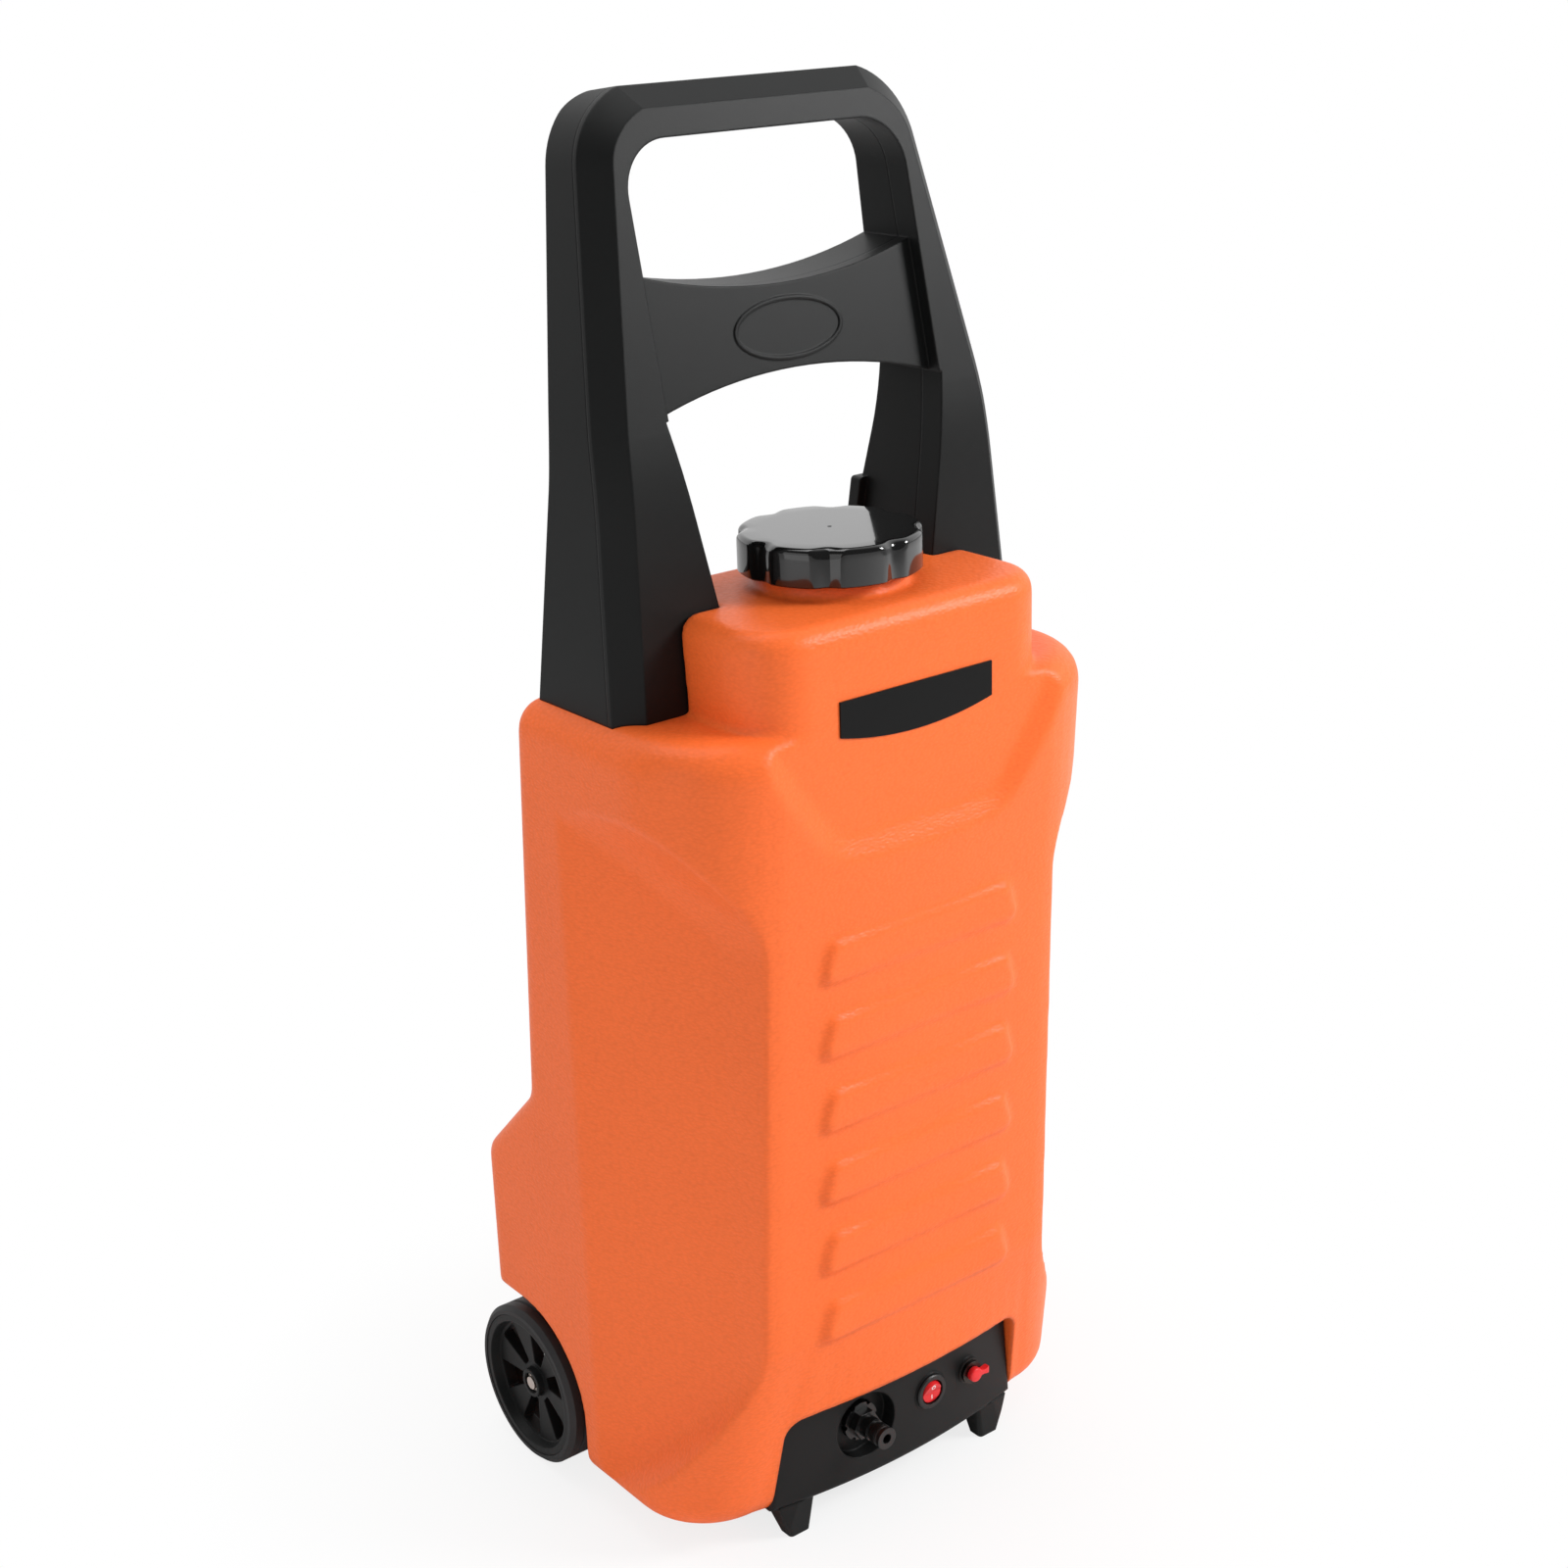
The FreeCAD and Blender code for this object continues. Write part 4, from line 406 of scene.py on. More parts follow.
def in_mm(length):
    """A length in metres as millimetres, without the last digits that a property adds."""
    return round(length / MM, 4)


def quarter(steps):
    """Angles from 0 to a quarter turn."""
    return [math.radians(90 * step / steps) for step in range(steps + 1)]


def offset_outline(corners, grow):
    """Moves each side of a closed outline of (u, v, radius) corners outwards."""
    count = len(corners)
    spots = [Vector(corner[:2]) for corner in corners]
    area = sum(spots[i - 1].cross(spots[i]) for i in range(count))
    side = 1 if area > 0 else -1
    moved = []
    for i, (spot, corner) in enumerate(zip(spots, corners)):
        before = (spot - spots[i - 1]).normalized()
        after = (spots[(i + 1) % count] - spot).normalized()
        out_before = Vector((before.y, -before.x)) * side
        out_after = Vector((after.y, -after.x)) * side
        shift = (out_before + out_after) * (grow / (1 + out_before.dot(out_after)))
        convex = before.cross(after) * side > 0
        radius = max(corner[2] + (grow if convex else -grow), LEAST_BEND_R) if corner[2] else 0.0
        moved.append((spot.x + shift.x, spot.y + shift.y, radius))
    return moved


def rounded_outline(corners, steps=8):
    """Points round an outline of (u, v, radius) corners, with an arc at each rounded corner."""
    count = len(corners)
    points = []
    for i, (u, v, radius) in enumerate(corners):
        spot = Vector((u, v))
        if not radius:
            points.append(spot)
            continue
        before = (Vector(corners[i - 1][:2]) - spot).normalized()
        after = (Vector(corners[(i + 1) % count][:2]) - spot).normalized()
        half = before.angle(after) / 2
        centre = spot + (before + after).normalized() * (radius / math.sin(half))
        start = spot + before * (radius / math.tan(half)) - centre
        end = spot + after * (radius / math.tan(half)) - centre
        turn = start.angle_signed(end)
        for step in range(steps + 1):
            points.append(centre + Matrix.Rotation(-turn * step / steps, 2) @ start)
    return points


def circle_ring(z, reach, count=72, x=0.0, y=NECK_Y):
    """Level circle, about the neck's axis unless another is given."""
    turns = [math.tau * step / count for step in range(count)]
    return [(x + reach * math.cos(turn), y + reach * math.sin(turn), z) for turn in turns]


def skin(name, rings, datum=DATUM):
    """Closed form through rings of equally many points in millimetres, capped at both ends."""
    form = bmesh.new()
    rows = [[form.verts.new(Vector(point) * MM + datum) for point in ring] for ring in rings]
    for low, high in zip(rows, rows[1:]):
        for i in range(len(low)):
            form.faces.new((low[i - 1], low[i], high[i], high[i - 1]))
    form.faces.new(rows[0])
    form.faces.new(rows[-1])
    bmesh.ops.recalc_face_normals(form, faces=form.faces)
    mesh = bpy.data.meshes.new(name)
    form.to_mesh(mesh)
    form.free()
    piece = bpy.data.objects.new(name, mesh)
    bpy.context.scene.collection.objects.link(piece)
    return piece


def settle(piece):
    """Turns a piece's modifiers into mesh."""
    bpy.context.view_layer.update()
    finished = piece.evaluated_get(bpy.context.evaluated_depsgraph_get())
    mesh = bpy.data.meshes.new_from_object(finished)
    piece.modifiers.clear()
    piece.data = mesh


def combine(piece, operation, *tools):
    """Joins, cuts or intersects a piece with tools, which are used up."""
    for tool in tools:
        change = piece.modifiers.new(tool.name, "BOOLEAN")
        change.operation = operation
        change.solver = "EXACT"
        change.object = tool
    settle(piece)
    for tool in tools:
        bpy.data.objects.remove(tool)


def smooth_but_sharp(piece):
    """Shades a piece smoothly, apart from its sharp edges."""
    for face in piece.data.polygons:
        face.use_smooth = True
    piece.data.set_sharp_from_angle(angle=SHARP_ANGLE)


def between(rows, place):
    """Straight-line reading of sorted rows at one place in their first column."""
    for low, high in zip(rows, rows[1:]):
        if place <= high[0]:
            share = (place - low[0]) / (high[0] - low[0])
            return [a + (b - a) * share for a, b in zip(low, high)]
    return list(rows[-1])


def level_ring(z, front, bow, corner, back, half, rear_r):
    """Level outline with a bowed front, rounded front corners and a straight back."""
    edge_x = half - corner
    shares = [step / FRONT_STEPS for step in range(-FRONT_STEPS, FRONT_STEPS + 1)]
    face = [(edge_x * share, front + bow * share ** 2, z) for share in shares]
    flank = []
    for turn in quarter(10)[1:]:
        flank.append((edge_x + corner * math.sin(turn), front + bow + corner * (1 - math.cos(turn)), z))
    for turn in quarter(5):
        flank.append((half - rear_r + rear_r * math.cos(turn), back - rear_r + rear_r * math.sin(turn), z))
    mirrored = [(-x, y, z) for x, y, _ in flank]
    return face + flank + mirrored[::-1]


def back_points():
    """Height and depth along the tank's back, with its bends rounded."""
    outline = rounded_outline([*BACK_LINE, (-FAR, SHOULDER, 0.0), (-FAR, 0.0, 0.0)])
    return [(spot.y, spot.x) for spot in outline[:-2]]


def edge_inset(z):
    """How far the outline draws in at the rounded shoulder and bottom."""
    for room, radius in ((SHOULDER - z, SHOULDER_R), (z - TANK_LOW, BOTTOM_R)):
        if room < radius:
            return radius - math.sqrt(max(radius ** 2 - (radius - room) ** 2, 0.0))
    return 0.0


def tank_block():
    """Main form of the tank, level by level."""
    backs = back_points()
    levels = {z for z, _ in backs if TANK_LOW < z < SHOULDER} | {station[0] for station in STATIONS}
    for turn in quarter(6):
        levels.add(TANK_LOW + BOTTOM_R * (1 - math.cos(turn)))
        levels.add(SHOULDER - SHOULDER_R * (1 - math.cos(turn)))
    rings = []
    for z in sorted(levels):
        inset = edge_inset(z)
        _, front, bow, corner = between(STATIONS, z)
        back = between(backs, z)[1]
        rings.append(level_ring(z, front + inset, bow, corner - inset, back - inset, TANK_HALF - inset,
                                max(REAR_R - inset, LEAST_REAR_R)))
    return skin("tank_block", rings)


def head_block():
    """Filler head with its rounded top edge, before the legs' places are cut away."""
    edge_low = HEAD_TOP - HEAD_EDGE_R
    heights = [SHOULDER - HEAD_ROOT, edge_low]
    heights += [HEAD_TOP - HEAD_EDGE_R * (1 - math.sin(turn)) for turn in quarter(6)[1:]]
    rings = []
    for z in heights:
        rise = max(z - edge_low, 0.0)
        inset = HEAD_EDGE_R - math.sqrt(max(HEAD_EDGE_R ** 2 - rise ** 2, 0.0))
        rings.append(level_ring(z, HEAD_FRONT + inset, 0.0, HEAD_CORNER_R - inset, HEAD_BACK - inset,
                                HEAD_HALF - inset, max(REAR_R - inset, LEAST_REAR_R)))
    return skin("head_block", rings)


def leg_space(side):
    """Room for one handle leg beside and behind the filler head."""
    rings = []
    for z in (SHOULDER - LEG_ROOT, HEAD_TOP + LEG_OVER):
        inner = side * (LEG_INNER + LEG_SPREAD * (z - SHOULDER) - LEG_GAP)
        front = LEG_FRONT + LEG_LEAN * (z - SHOULDER) - LEG_GAP
        rings.append([(inner, front, z), (side * FAR, front, z), (side * FAR, FAR, z), (inner, FAR, z)])
    return skin("leg_space", rings)


def chest_tool():
    """Sinks the chest to the head's plane inside a sloping V-shaped band."""
    outline = [
        (-CHEST_LOW_HALF, CHEST_LOW, CHEST_R), (CHEST_LOW_HALF, CHEST_LOW, CHEST_R),
        (CHEST_TOP_HALF, CHEST_TOP, 0.0), (CHEST_TOP_HALF, CHEST_TOP + FAR, 0.0),
        (-CHEST_TOP_HALF, CHEST_TOP + FAR, 0.0), (-CHEST_TOP_HALF, CHEST_TOP, 0.0),
    ]
    rings = []
    for depth in (0.0, CHEST_REACH):
        points = rounded_outline(offset_outline(outline, depth * CHEST_SLOPE))
        rings.append([(spot.x, HEAD_FRONT - depth, spot.y) for spot in points])
    return skin("chest_tool", rings)


def notch_ring(side, depth):
    """One side notch at a depth behind the column's front: it opens downwards to the rear."""
    x = COLUMN_HALF + depth * COLUMN_DRAFT
    low = NOTCH_LOW - depth * NOTCH_FALL
    top = NOTCH_TOP + depth * NOTCH_LIFT
    reach = TANK_HALF + NOTCH_PAST - x
    corners = [
        (x, low, NOTCH_LOW_R),
        (x + reach, low - reach * NOTCH_LOW_SLOPE, 0.0),
        (x + reach, top + reach * NOTCH_TOP_SLOPE, 0.0),
        (x, top, NOTCH_TOP_R + depth * NOTCH_TOP_SPREAD),
    ]
    return [(side * spot.x, depth + COLUMN_FRONT, spot.y) for spot in rounded_outline(corners, 12)]


def notch_tool(side):
    """Notch behind one front column, cut off by the slanting recess plane."""
    tool = skin("notch_tool", [notch_ring(side, depth) for depth in (NOTCH_START, NOTCH_END)])
    start = Vector((COLUMN_HALF + RECESS_START * COLUMN_DRAFT, COLUMN_FRONT + RECESS_START))
    run = Vector((TANK_HALF, RECESS_END)) - start
    near = start - run * 2
    away = start + run * 2
    out = Vector((run.y, -run.x)).normalized() * FAR
    corners = [near, away, away + out, near + out]
    plane = skin("notch_plane", [[(side * spot.x, spot.y, z) for spot in corners] for z in (-FAR, 3 * FAR)])
    combine(tool, "INTERSECT", plane)
    return tool


def bay_tool():
    """Bay under the tank, open to the front and below."""
    outline = rounded_outline([
        (-BAY_LOW_HALF, -FAR, 0.0), (BAY_LOW_HALF, -FAR, 0.0),
        (BAY_TOP_HALF, BAY_TOP, BAY_CORNER_R), (-BAY_TOP_HALF, BAY_TOP, BAY_CORNER_R),
    ])
    return skin("bay_tool", [[(spot.x, y, spot.y) for spot in outline] for y in (-FAR, BAY_BACK)])


def arch_tool(side):
    """Arch over one wheel, open to the rear."""
    outline = [(AXLE_DEPTH - ARCH_R, -FAR), (AXLE_DEPTH - ARCH_R, AXLE_HEIGHT)]
    for turn in quarter(9)[1:]:
        outline.append((AXLE_DEPTH - ARCH_R * math.cos(turn), AXLE_HEIGHT + ARCH_R * math.sin(turn)))
    outline += [(FAR, AXLE_HEIGHT + ARCH_R), (FAR, -FAR)]
    return skin("arch_tool", [[(side * x, y, z) for y, z in outline] for x in (ARCH_INNER, FAR)])


def underside_tool():
    """Step in the underside that the axle lies against."""
    corners = [(-UNDERSIDE_HALF, UNDERSIDE_FRONT), (UNDERSIDE_HALF, UNDERSIDE_FRONT),
               (UNDERSIDE_HALF, FAR), (-UNDERSIDE_HALF, FAR)]
    return skin("underside_tool", [[(x, y, z) for x, y in corners] for z in (-FAR, AXLE_HEIGHT)])


def rib(number, rib_rise):
    """One shallow rib with sloping sides, standing on the tank's front."""
    top = SHOULDER - RIB_DROP - number * RIB_PITCH
    low = top - RIB_HEIGHT
    corners = [(-RIB_LOW_HALF, low, RIB_CORNER_R), (RIB_LOW_HALF, low, RIB_CORNER_R),
               (RIB_TOP_HALF, top, RIB_CORNER_R), (-RIB_TOP_HALF, top, RIB_CORNER_R)]
    rings = []
    for grow, rise in ((RIB_ROOT, -RIB_ROOT), (-RIB_DRAW, rib_rise)):
        points = rounded_outline(offset_outline(corners, grow))
        rings.append([(spot.x, between(STATIONS, spot.y)[1] - rise, spot.y) for spot in points])
    return skin("rib", rings)


def neck_block():
    """Filler neck with its flange."""
    flange_top = HEAD_TOP + NECK_FLANGE_H
    steps = ((HEAD_TOP - NECK_ROOT, NECK_FLANGE_R), (flange_top, NECK_FLANGE_R), (flange_top, NECK_R),
             (HEAD_TOP + NECK_H, NECK_R))
    return skin("neck_block", [circle_ring(z, reach) for z, reach in steps])


def soften(piece, shape):
    """Gives a piece the rounded edges of a blow moulding."""
    remesh = piece.modifiers.new("remesh", "REMESH")
    remesh.mode = "VOXEL"
    remesh.voxel_size = shape.detail
    relax = piece.modifiers.new("relax", "SMOOTH")
    relax.factor = RELAX
    relax.iterations = shape.softness
    thin = piece.modifiers.new("thin", "DECIMATE")
    thin.ratio = KEPT_FACES
    settle(piece)


def hollow(piece, thickness):
    """Leaves a wall round a cavity, open at the neck and at the outlet."""
    wall = piece.modifiers.new("wall", "SOLIDIFY")
    wall.thickness = thickness
    wall.offset = -1
    wall.use_even_offset = True
    settle(piece)
    neck = skin("neck_bore", [circle_ring(z, NECK_BORE_R) for z in NECK_BORE])
    outlet = skin("outlet_bore", [circle_ring(z, OUTLET_R, x=OUTLET_X, y=OUTLET_Y) for z in OUTLET_BORE])
    combine(piece, "DIFFERENCE", neck, outlet)


def tank_mesh(shape):
    """Blow-moulded tank. The bay is cut last, so that its edge stays crisp."""
    piece = tank_block()
    head = head_block()
    combine(head, "DIFFERENCE", leg_space(1), leg_space(-1))
    combine(piece, "UNION", head)
    combine(piece, "DIFFERENCE", chest_tool(), notch_tool(1), notch_tool(-1), arch_tool(1), arch_tool(-1),
            underside_tool())
    combine(piece, "UNION", *[rib(number, in_mm(shape.rib_rise)) for number in range(shape.rib_count)])
    combine(piece, "UNION", neck_block())
    soften(piece, shape)
    combine(piece, "DIFFERENCE", bay_tool())
    hollow(piece, shape.wall)
    smooth_but_sharp(piece)
    return piece


def cap_ring(shape, z, inset, flare):
    """Level outline of the cap with its flutes, wider and deeper by the flare."""
    points = []
    pitch = math.tau / shape.lobes
    half = FLUTE_HALF * (1 + flare * FLUTE_WIDER)
    depth = in_mm(shape.flute_depth) * (1 + flare * FLUTE_DEEPER)
    for step in range(CAP_POINTS):
        turn = math.tau * step / CAP_POINTS
        off = abs((turn - CAP_TURN + pitch / 2) % pitch - pitch / 2) / half
        groove = depth * (0.5 + 0.5 * math.cos(math.pi * min(off, 1.0)))
        reach = in_mm(shape.radius) - inset - groove
        points.append((reach * math.cos(turn), NECK_Y + reach * math.sin(turn), z))
    return points


def cap_mesh(shape):
    """Screw cap: scalloped side, rounded top edge, bore for the neck and a blind vent."""
    edge = in_mm(shape.edge_radius)
    rings = [circle_ring(z, CAP_BORE_R, CAP_POINTS) for z in (CAP_TOP - CAP_ROOF, CAP_LOW)]
    rings.append(cap_ring(shape, CAP_LOW, CAP_FOOT, 0.0))
    rings += [cap_ring(shape, z, 0.0, 0.0) for z in (CAP_LOW + CAP_FOOT, CAP_TOP - FLUTE_FLARE_H)]
    for step, turn in enumerate(quarter(8)):
        z = CAP_TOP - edge * (1 - math.sin(turn))
        rings.append(cap_ring(shape, z, edge * (1 - math.cos(turn)), FLUTE_FLARE + step / 9))
    rings += [circle_ring(CAP_TOP, reach, CAP_POINTS) for reach in (*CAP_TOP_RINGS, VENT_R)]
    rings.append(circle_ring(CAP_TOP - VENT_DEPTH, VENT_R, CAP_POINTS))
    piece = skin("cap_form", rings)
    smooth_but_sharp(piece)
    return piece


def plug_mesh():
    """Rubber plug: a stem in the socket and a round head with a flared tab to one side."""
    low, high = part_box("charge_socket")
    centre = (low + high) / (2 * MM)
    face = low.y / MM - PLUG_GAP
    turns = [math.radians(degrees) for degrees in PLUG_ARC]
    outline = [(PLUG_R * math.cos(turn), PLUG_R * math.sin(turn)) for turn in turns]
    outline += PLUG_TAB
    stem = [tuple(Vector(spot).normalized() * PLUG_STEM_R) for spot in outline]
    rings = [[(centre.x + u, y, centre.z + v) for u, v in stem] for y in (face + PLUG_STEM, face)]
    for ahead, share in PLUG_PROFILE:
        rings.append([(centre.x + u * share, face - ahead, centre.z + v * share) for u, v in outline])
    piece = skin("plug_form", rings, Vector())
    smooth_but_sharp(piece)
    return piece


class TankShape(bpy.types.PropertyGroup):
    """Form of the orange tank."""

    rib_count: IntProperty(name="Ribs", description="Number of ribs on the front", default=6, min=1, max=7)
    rib_rise: FloatProperty(
        name="Rib rise", description="Height of a rib above the front", unit="LENGTH", default=0.0026)
    wall: FloatProperty(
        name="Wall", description="Thickness of the moulded wall", unit="LENGTH", default=0.005)
    detail: FloatProperty(
        name="Detail", description="Finest step of the tank's mesh", unit="LENGTH",
        default=0.0016, min=0.0008)
    softness: IntProperty(
        name="Softness", description="Rounds of smoothing over the tank's edges", default=14, min=0, max=60)


class CapShape(bpy.types.PropertyGroup):
    """Form of the filler cap."""

    radius: FloatProperty(
        name="Radius", description="Outer radius of the cap", unit="LENGTH", default=0.0625)
    lobes: IntProperty(name="Lobes", description="Number of lobes round the cap", default=8, min=3, max=24)
    flute_depth: FloatProperty(
        name="Flute depth", description="Depth of the flutes between lobes", unit="LENGTH", default=0.003)
    edge_radius: FloatProperty(
        name="Edge radius", description="Rounding of the cap's top edge", unit="LENGTH", default=0.004)


class TankLook(bpy.types.PropertyGroup):
    """Finish of the orange tank."""

    colour: FloatVectorProperty(
        name="Colour", description="Colour of the moulded tank", subtype="COLOR",
        default=(0.96, 0.158, 0.03), min=0.0, max=1.0)
    roughness: FloatProperty(
        name="Roughness", description="Mean roughness of the tank", default=0.4, min=0.0, max=1.0)
    shine: FloatProperty(
        name="Shine", description="Strength of the plain reflection", subtype="FACTOR",
        default=0.26, min=0.0, max=1.0)
    grain_size: FloatProperty(
        name="Grain size", description="Height of one wrinkle of the grain", unit="LENGTH", default=0.0016)
    grain_stretch: FloatProperty(
        name="Grain stretch", description="Height of a wrinkle as a share of its width",
        subtype="FACTOR", default=0.5, min=0.1, max=1.0)
    grain_depth: FloatProperty(
        name="Grain depth", description="Depth of the grain", unit="LENGTH", default=0.0003)
    edge_radius: FloatProperty(
        name="Edge radius", description="Radius that sharp moulded edges are shaded with",
        unit="LENGTH", default=0.006)


class PlasticLook(bpy.types.PropertyGroup):
    """Finish of the black mouldings."""

    colour: FloatVectorProperty(
        name="Colour", description="Colour of the handle and the base housing", subtype="COLOR",
        default=(0.0075, 0.008, 0.008), min=0.0, max=1.0)
    roughness: FloatProperty(
        name="Roughness", description="Mean roughness of the mouldings", default=0.44, min=0.0, max=1.0)
    shine: FloatProperty(
        name="Shine", description="Strength of the plain reflection", subtype="FACTOR",
        default=0.2, min=0.0, max=1.0)
    grain_size: FloatProperty(
        name="Grain size", description="Width of the fine grain", unit="LENGTH", default=0.0007)
    grain_depth: FloatProperty(
        name="Grain depth", description="Depth of the fine grain", unit="LENGTH", default=0.00006)
    edge_radius: FloatProperty(
        name="Edge radius", description="Radius that sharp edges are shaded with",
        unit="LENGTH", default=0.002)


class FittingLook(bpy.types.PropertyGroup):
    """Colours of the small fittings."""

    cap_colour: FloatVectorProperty(
        name="Cap colour", description="Colour of the glossy filler cap", subtype="COLOR",
        default=(0.004, 0.004, 0.004), min=0.0, max=1.0)
    red: FloatVectorProperty(
        name="Red", description="Colour of the rocker and the socket plug", subtype="COLOR",
        default=(0.72, 0.012, 0.016), min=0.0, max=1.0)
    mark: FloatVectorProperty(
        name="Mark colour", description="Colour of the switch's O and I", subtype="COLOR",
        default=(0.85, 0.84, 0.82), min=0.0, max=1.0)
    mark_size: FloatProperty(
        name="Mark size", description="Outer radius of the O", unit="LENGTH", default=0.0019)


class StudioLook(bpy.types.PropertyGroup):
    """Camera and lights."""

    lens: FloatProperty(name="Lens", description="Focal length in millimetres", default=56.05)
    heading: FloatProperty(
        name="Heading", description="Direction of view, clockwise from a view of the front",
        subtype="ANGLE", default=math.radians(37.81))
    pitch: FloatProperty(
        name="Pitch", description="Angle below the horizon", subtype="ANGLE", default=math.radians(20.06))
    roll: FloatProperty(
        name="Roll", description="Tilt of the picture", subtype="ANGLE", default=math.radians(1.86))
    key_power: FloatProperty(
        name="Key light", description="Power of the key light in watts", default=95.0)
    fill_power: FloatProperty(
        name="Fill light", description="Power of the fill light in watts", default=9.0)
    top_power: FloatProperty(
        name="Top light", description="Power of the top light in watts", default=16.0)
    room: FloatProperty(
        name="Room light", description="Strength of the light from all round", default=0.52)


class TROLLEYTANK_OT_tank(bpy.types.Operator):
    """Mould and finish the tank"""

    bl_idname = "trolleytank.tank"
    bl_label = "Tank"

    def execute(self, context):
        piece = tank_mesh(context.scene.tank_shape)
        piece.data.materials.append(moulded_polyethylene(context.scene.tank_look).material)
        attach(piece, "trolley")
        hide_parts("tank")
        return {"FINISHED"}


class TROLLEYTANK_OT_handle(bpy.types.Operator):
    """Finish the two handle shells and the plain plate on the tank's head"""

    bl_idname = "trolleytank.handle"
    bl_label = "Handle and plate"

    def execute(self, context):
        look = context.scene.plastic_look
        plastic = textured_plastic("handle_plastic", look, look.edge_radius)
        paint(plastic, "handle_front_shell", "handle_rear_shell")
        paint(Finish("plate_plastic", (0.005, 0.005, 0.005), 0.3, Specular_IOR_Level=0.1), "badge_plate")
        return {"FINISHED"}


class TROLLEYTANK_OT_cap(bpy.types.Operator):
    """Shape and finish the glossy filler cap and its seal"""

    bl_idname = "trolleytank.cap"
    bl_label = "Filler cap"

    def execute(self, context):
        finish = gloss_plastic("cap_plastic", context.scene.fitting_look.cap_colour, 0.07, 0.0005)
        piece = cap_mesh(context.scene.cap_shape)
        piece.data.materials.append(finish.material)
        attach(piece, "cap")
        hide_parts("filler_cap")
        paint(soft_rubber("seal_rubber", (0.02, 0.02, 0.02), 0.7), "cap_liner")
        return {"FINISHED"}


class TROLLEYTANK_OT_wheels(bpy.types.Operator):
    """Finish the wheels, tyres and axle"""

    bl_idname = "trolleytank.wheels"
    bl_label = "Wheels and axle"

    def execute(self, context):
        look = context.scene.plastic_look
        paint(textured_plastic("wheel_plastic", look, 0.0015), "right_wheel", "left_wheel", "axle_clamps")
        paint(soft_rubber("tyre_rubber", (0.014, 0.014, 0.015), 0.62), "right_tyre", "left_tyre")
        paint(turned_metal("axle_steel", (0.62, 0.55, 0.5), 0.32), "axle", "axle_clips", "wheel_washers")
        return {"FINISHED"}


class TROLLEYTANK_OT_base(bpy.types.Operator):
    """Finish the base housing with its feet"""

    bl_idname = "trolleytank.base"
    bl_label = "Base housing"

    def execute(self, context):
        look = context.scene.plastic_look
        paint(textured_plastic("base_plastic", look, look.edge_radius), "base_housing")
        return {"FINISHED"}


class TROLLEYTANK_OT_connector(bpy.types.Operator):
    """Finish the hose connector and its collar, ring and nut"""

    bl_idname = "trolleytank.connector"
    bl_label = "Hose connector"

    def execute(self, context):
        paint(gloss_plastic("connector_plastic", (0.004, 0.004, 0.004), 0.28, 0.0004, 0.1),
              "hose_connector", "connector_collar")
        paint(soft_rubber("ring_rubber", (0.01, 0.01, 0.01), 0.5), "connector_oring")
        paint(turned_metal("nut_brass", (0.72, 0.5, 0.22), 0.34), "connector_nut")
        return {"FINISHED"}


class TROLLEYTANK_OT_switch(bpy.types.Operator):
    """Finish the rocker switch and print its O and I"""

    bl_idname = "trolleytank.switch"
    bl_label = "Rocker switch"

    def execute(self, context):
        look = context.scene.fitting_look
        paint(gloss_plastic("bezel_plastic", (0.006, 0.006, 0.006), 0.4, 0.0005, 0.0), "rocker_frame")
        finish = gloss_plastic("rocker_plastic", look.red, 0.3, 0.0005, 0.0)
        low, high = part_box("rocker_button")
        centre = (low + high) / 2
        across, _, up = finish.axes()
        across = across - centre.x
        ring_up = up - (centre.z + O_RISE)
        reach = (across * across + ring_up * ring_up) ** 0.5
        ring = abs(reach - look.mark_size * 0.8) < look.mark_size * 0.2
        bar = (abs(across) < I_HALF) * (abs(up - (centre.z - I_DROP)) < look.mark_size)
        finish.feed("Base Color", finish.blend(ring.greater(bar), look.red, look.mark))
        paint(finish, "rocker_button")
        return {"FINISHED"}


class TROLLEYTANK_OT_socket(bpy.types.Operator):
    """Finish the charging socket and shape its rubber plug"""

    bl_idname = "trolleytank.socket"
    bl_label = "Charging socket"

    def execute(self, context):
        look = context.scene.fitting_look
        paint(turned_metal("socket_metal", (0.06, 0.055, 0.05), 0.3), "charge_socket", "charge_nut")
        paint(soft_rubber("plug_ring_rubber", (0.012, 0.01, 0.009), 0.5), "charge_cap_ring")
        piece = plug_mesh()
        piece.data.materials.append(soft_rubber("plug_rubber", look.red, 0.42).material)
        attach(piece, "socket_plug")
        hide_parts("charge_cap")
        return {"FINISHED"}


class TROLLEYTANK_OT_bay(bpy.types.Operator):
    """Finish the pump, battery, hoses and fittings inside the bay"""

    bl_idname = "trolleytank.bay"
    bl_label = "Pump bay"

    def execute(self, context):
        look = context.scene.plastic_look
        paint(textured_plastic("pump_plastic", look, 0.001), "pump_head", "pressure_switch", "pump_bracket",
              "tank_outlet", "outlet_nut", "inlet_strainer", "battery_strap")
        paint(turned_metal("motor_can", (0.12, 0.12, 0.13), 0.4), "pump_motor")
        paint(soft_rubber("hose_rubber", (0.3, 0.3, 0.28), 0.4), "delivery_hose", "suction_hose")
        paint(soft_rubber("mount_rubber", (0.02, 0.02, 0.02), 0.7), "pump_grommets", "outlet_gasket")
        paint(gloss_plastic("battery_case", (0.05, 0.052, 0.058), 0.4, 0.001), "battery")
        return {"FINISHED"}


class TROLLEYTANK_OT_fasteners(bpy.types.Operator):
    """Finish the screws and bolts"""

    bl_idname = "trolleytank.fasteners"
    bl_label = "Fasteners"

    def execute(self, context):
        paint(turned_metal("zinc_steel", (0.55, 0.54, 0.5), 0.34), "handle_screws", "handle_bolts",
              "clamp_screws", "base_screws", "pump_screws", "strap_screws")
        return {"FINISHED"}


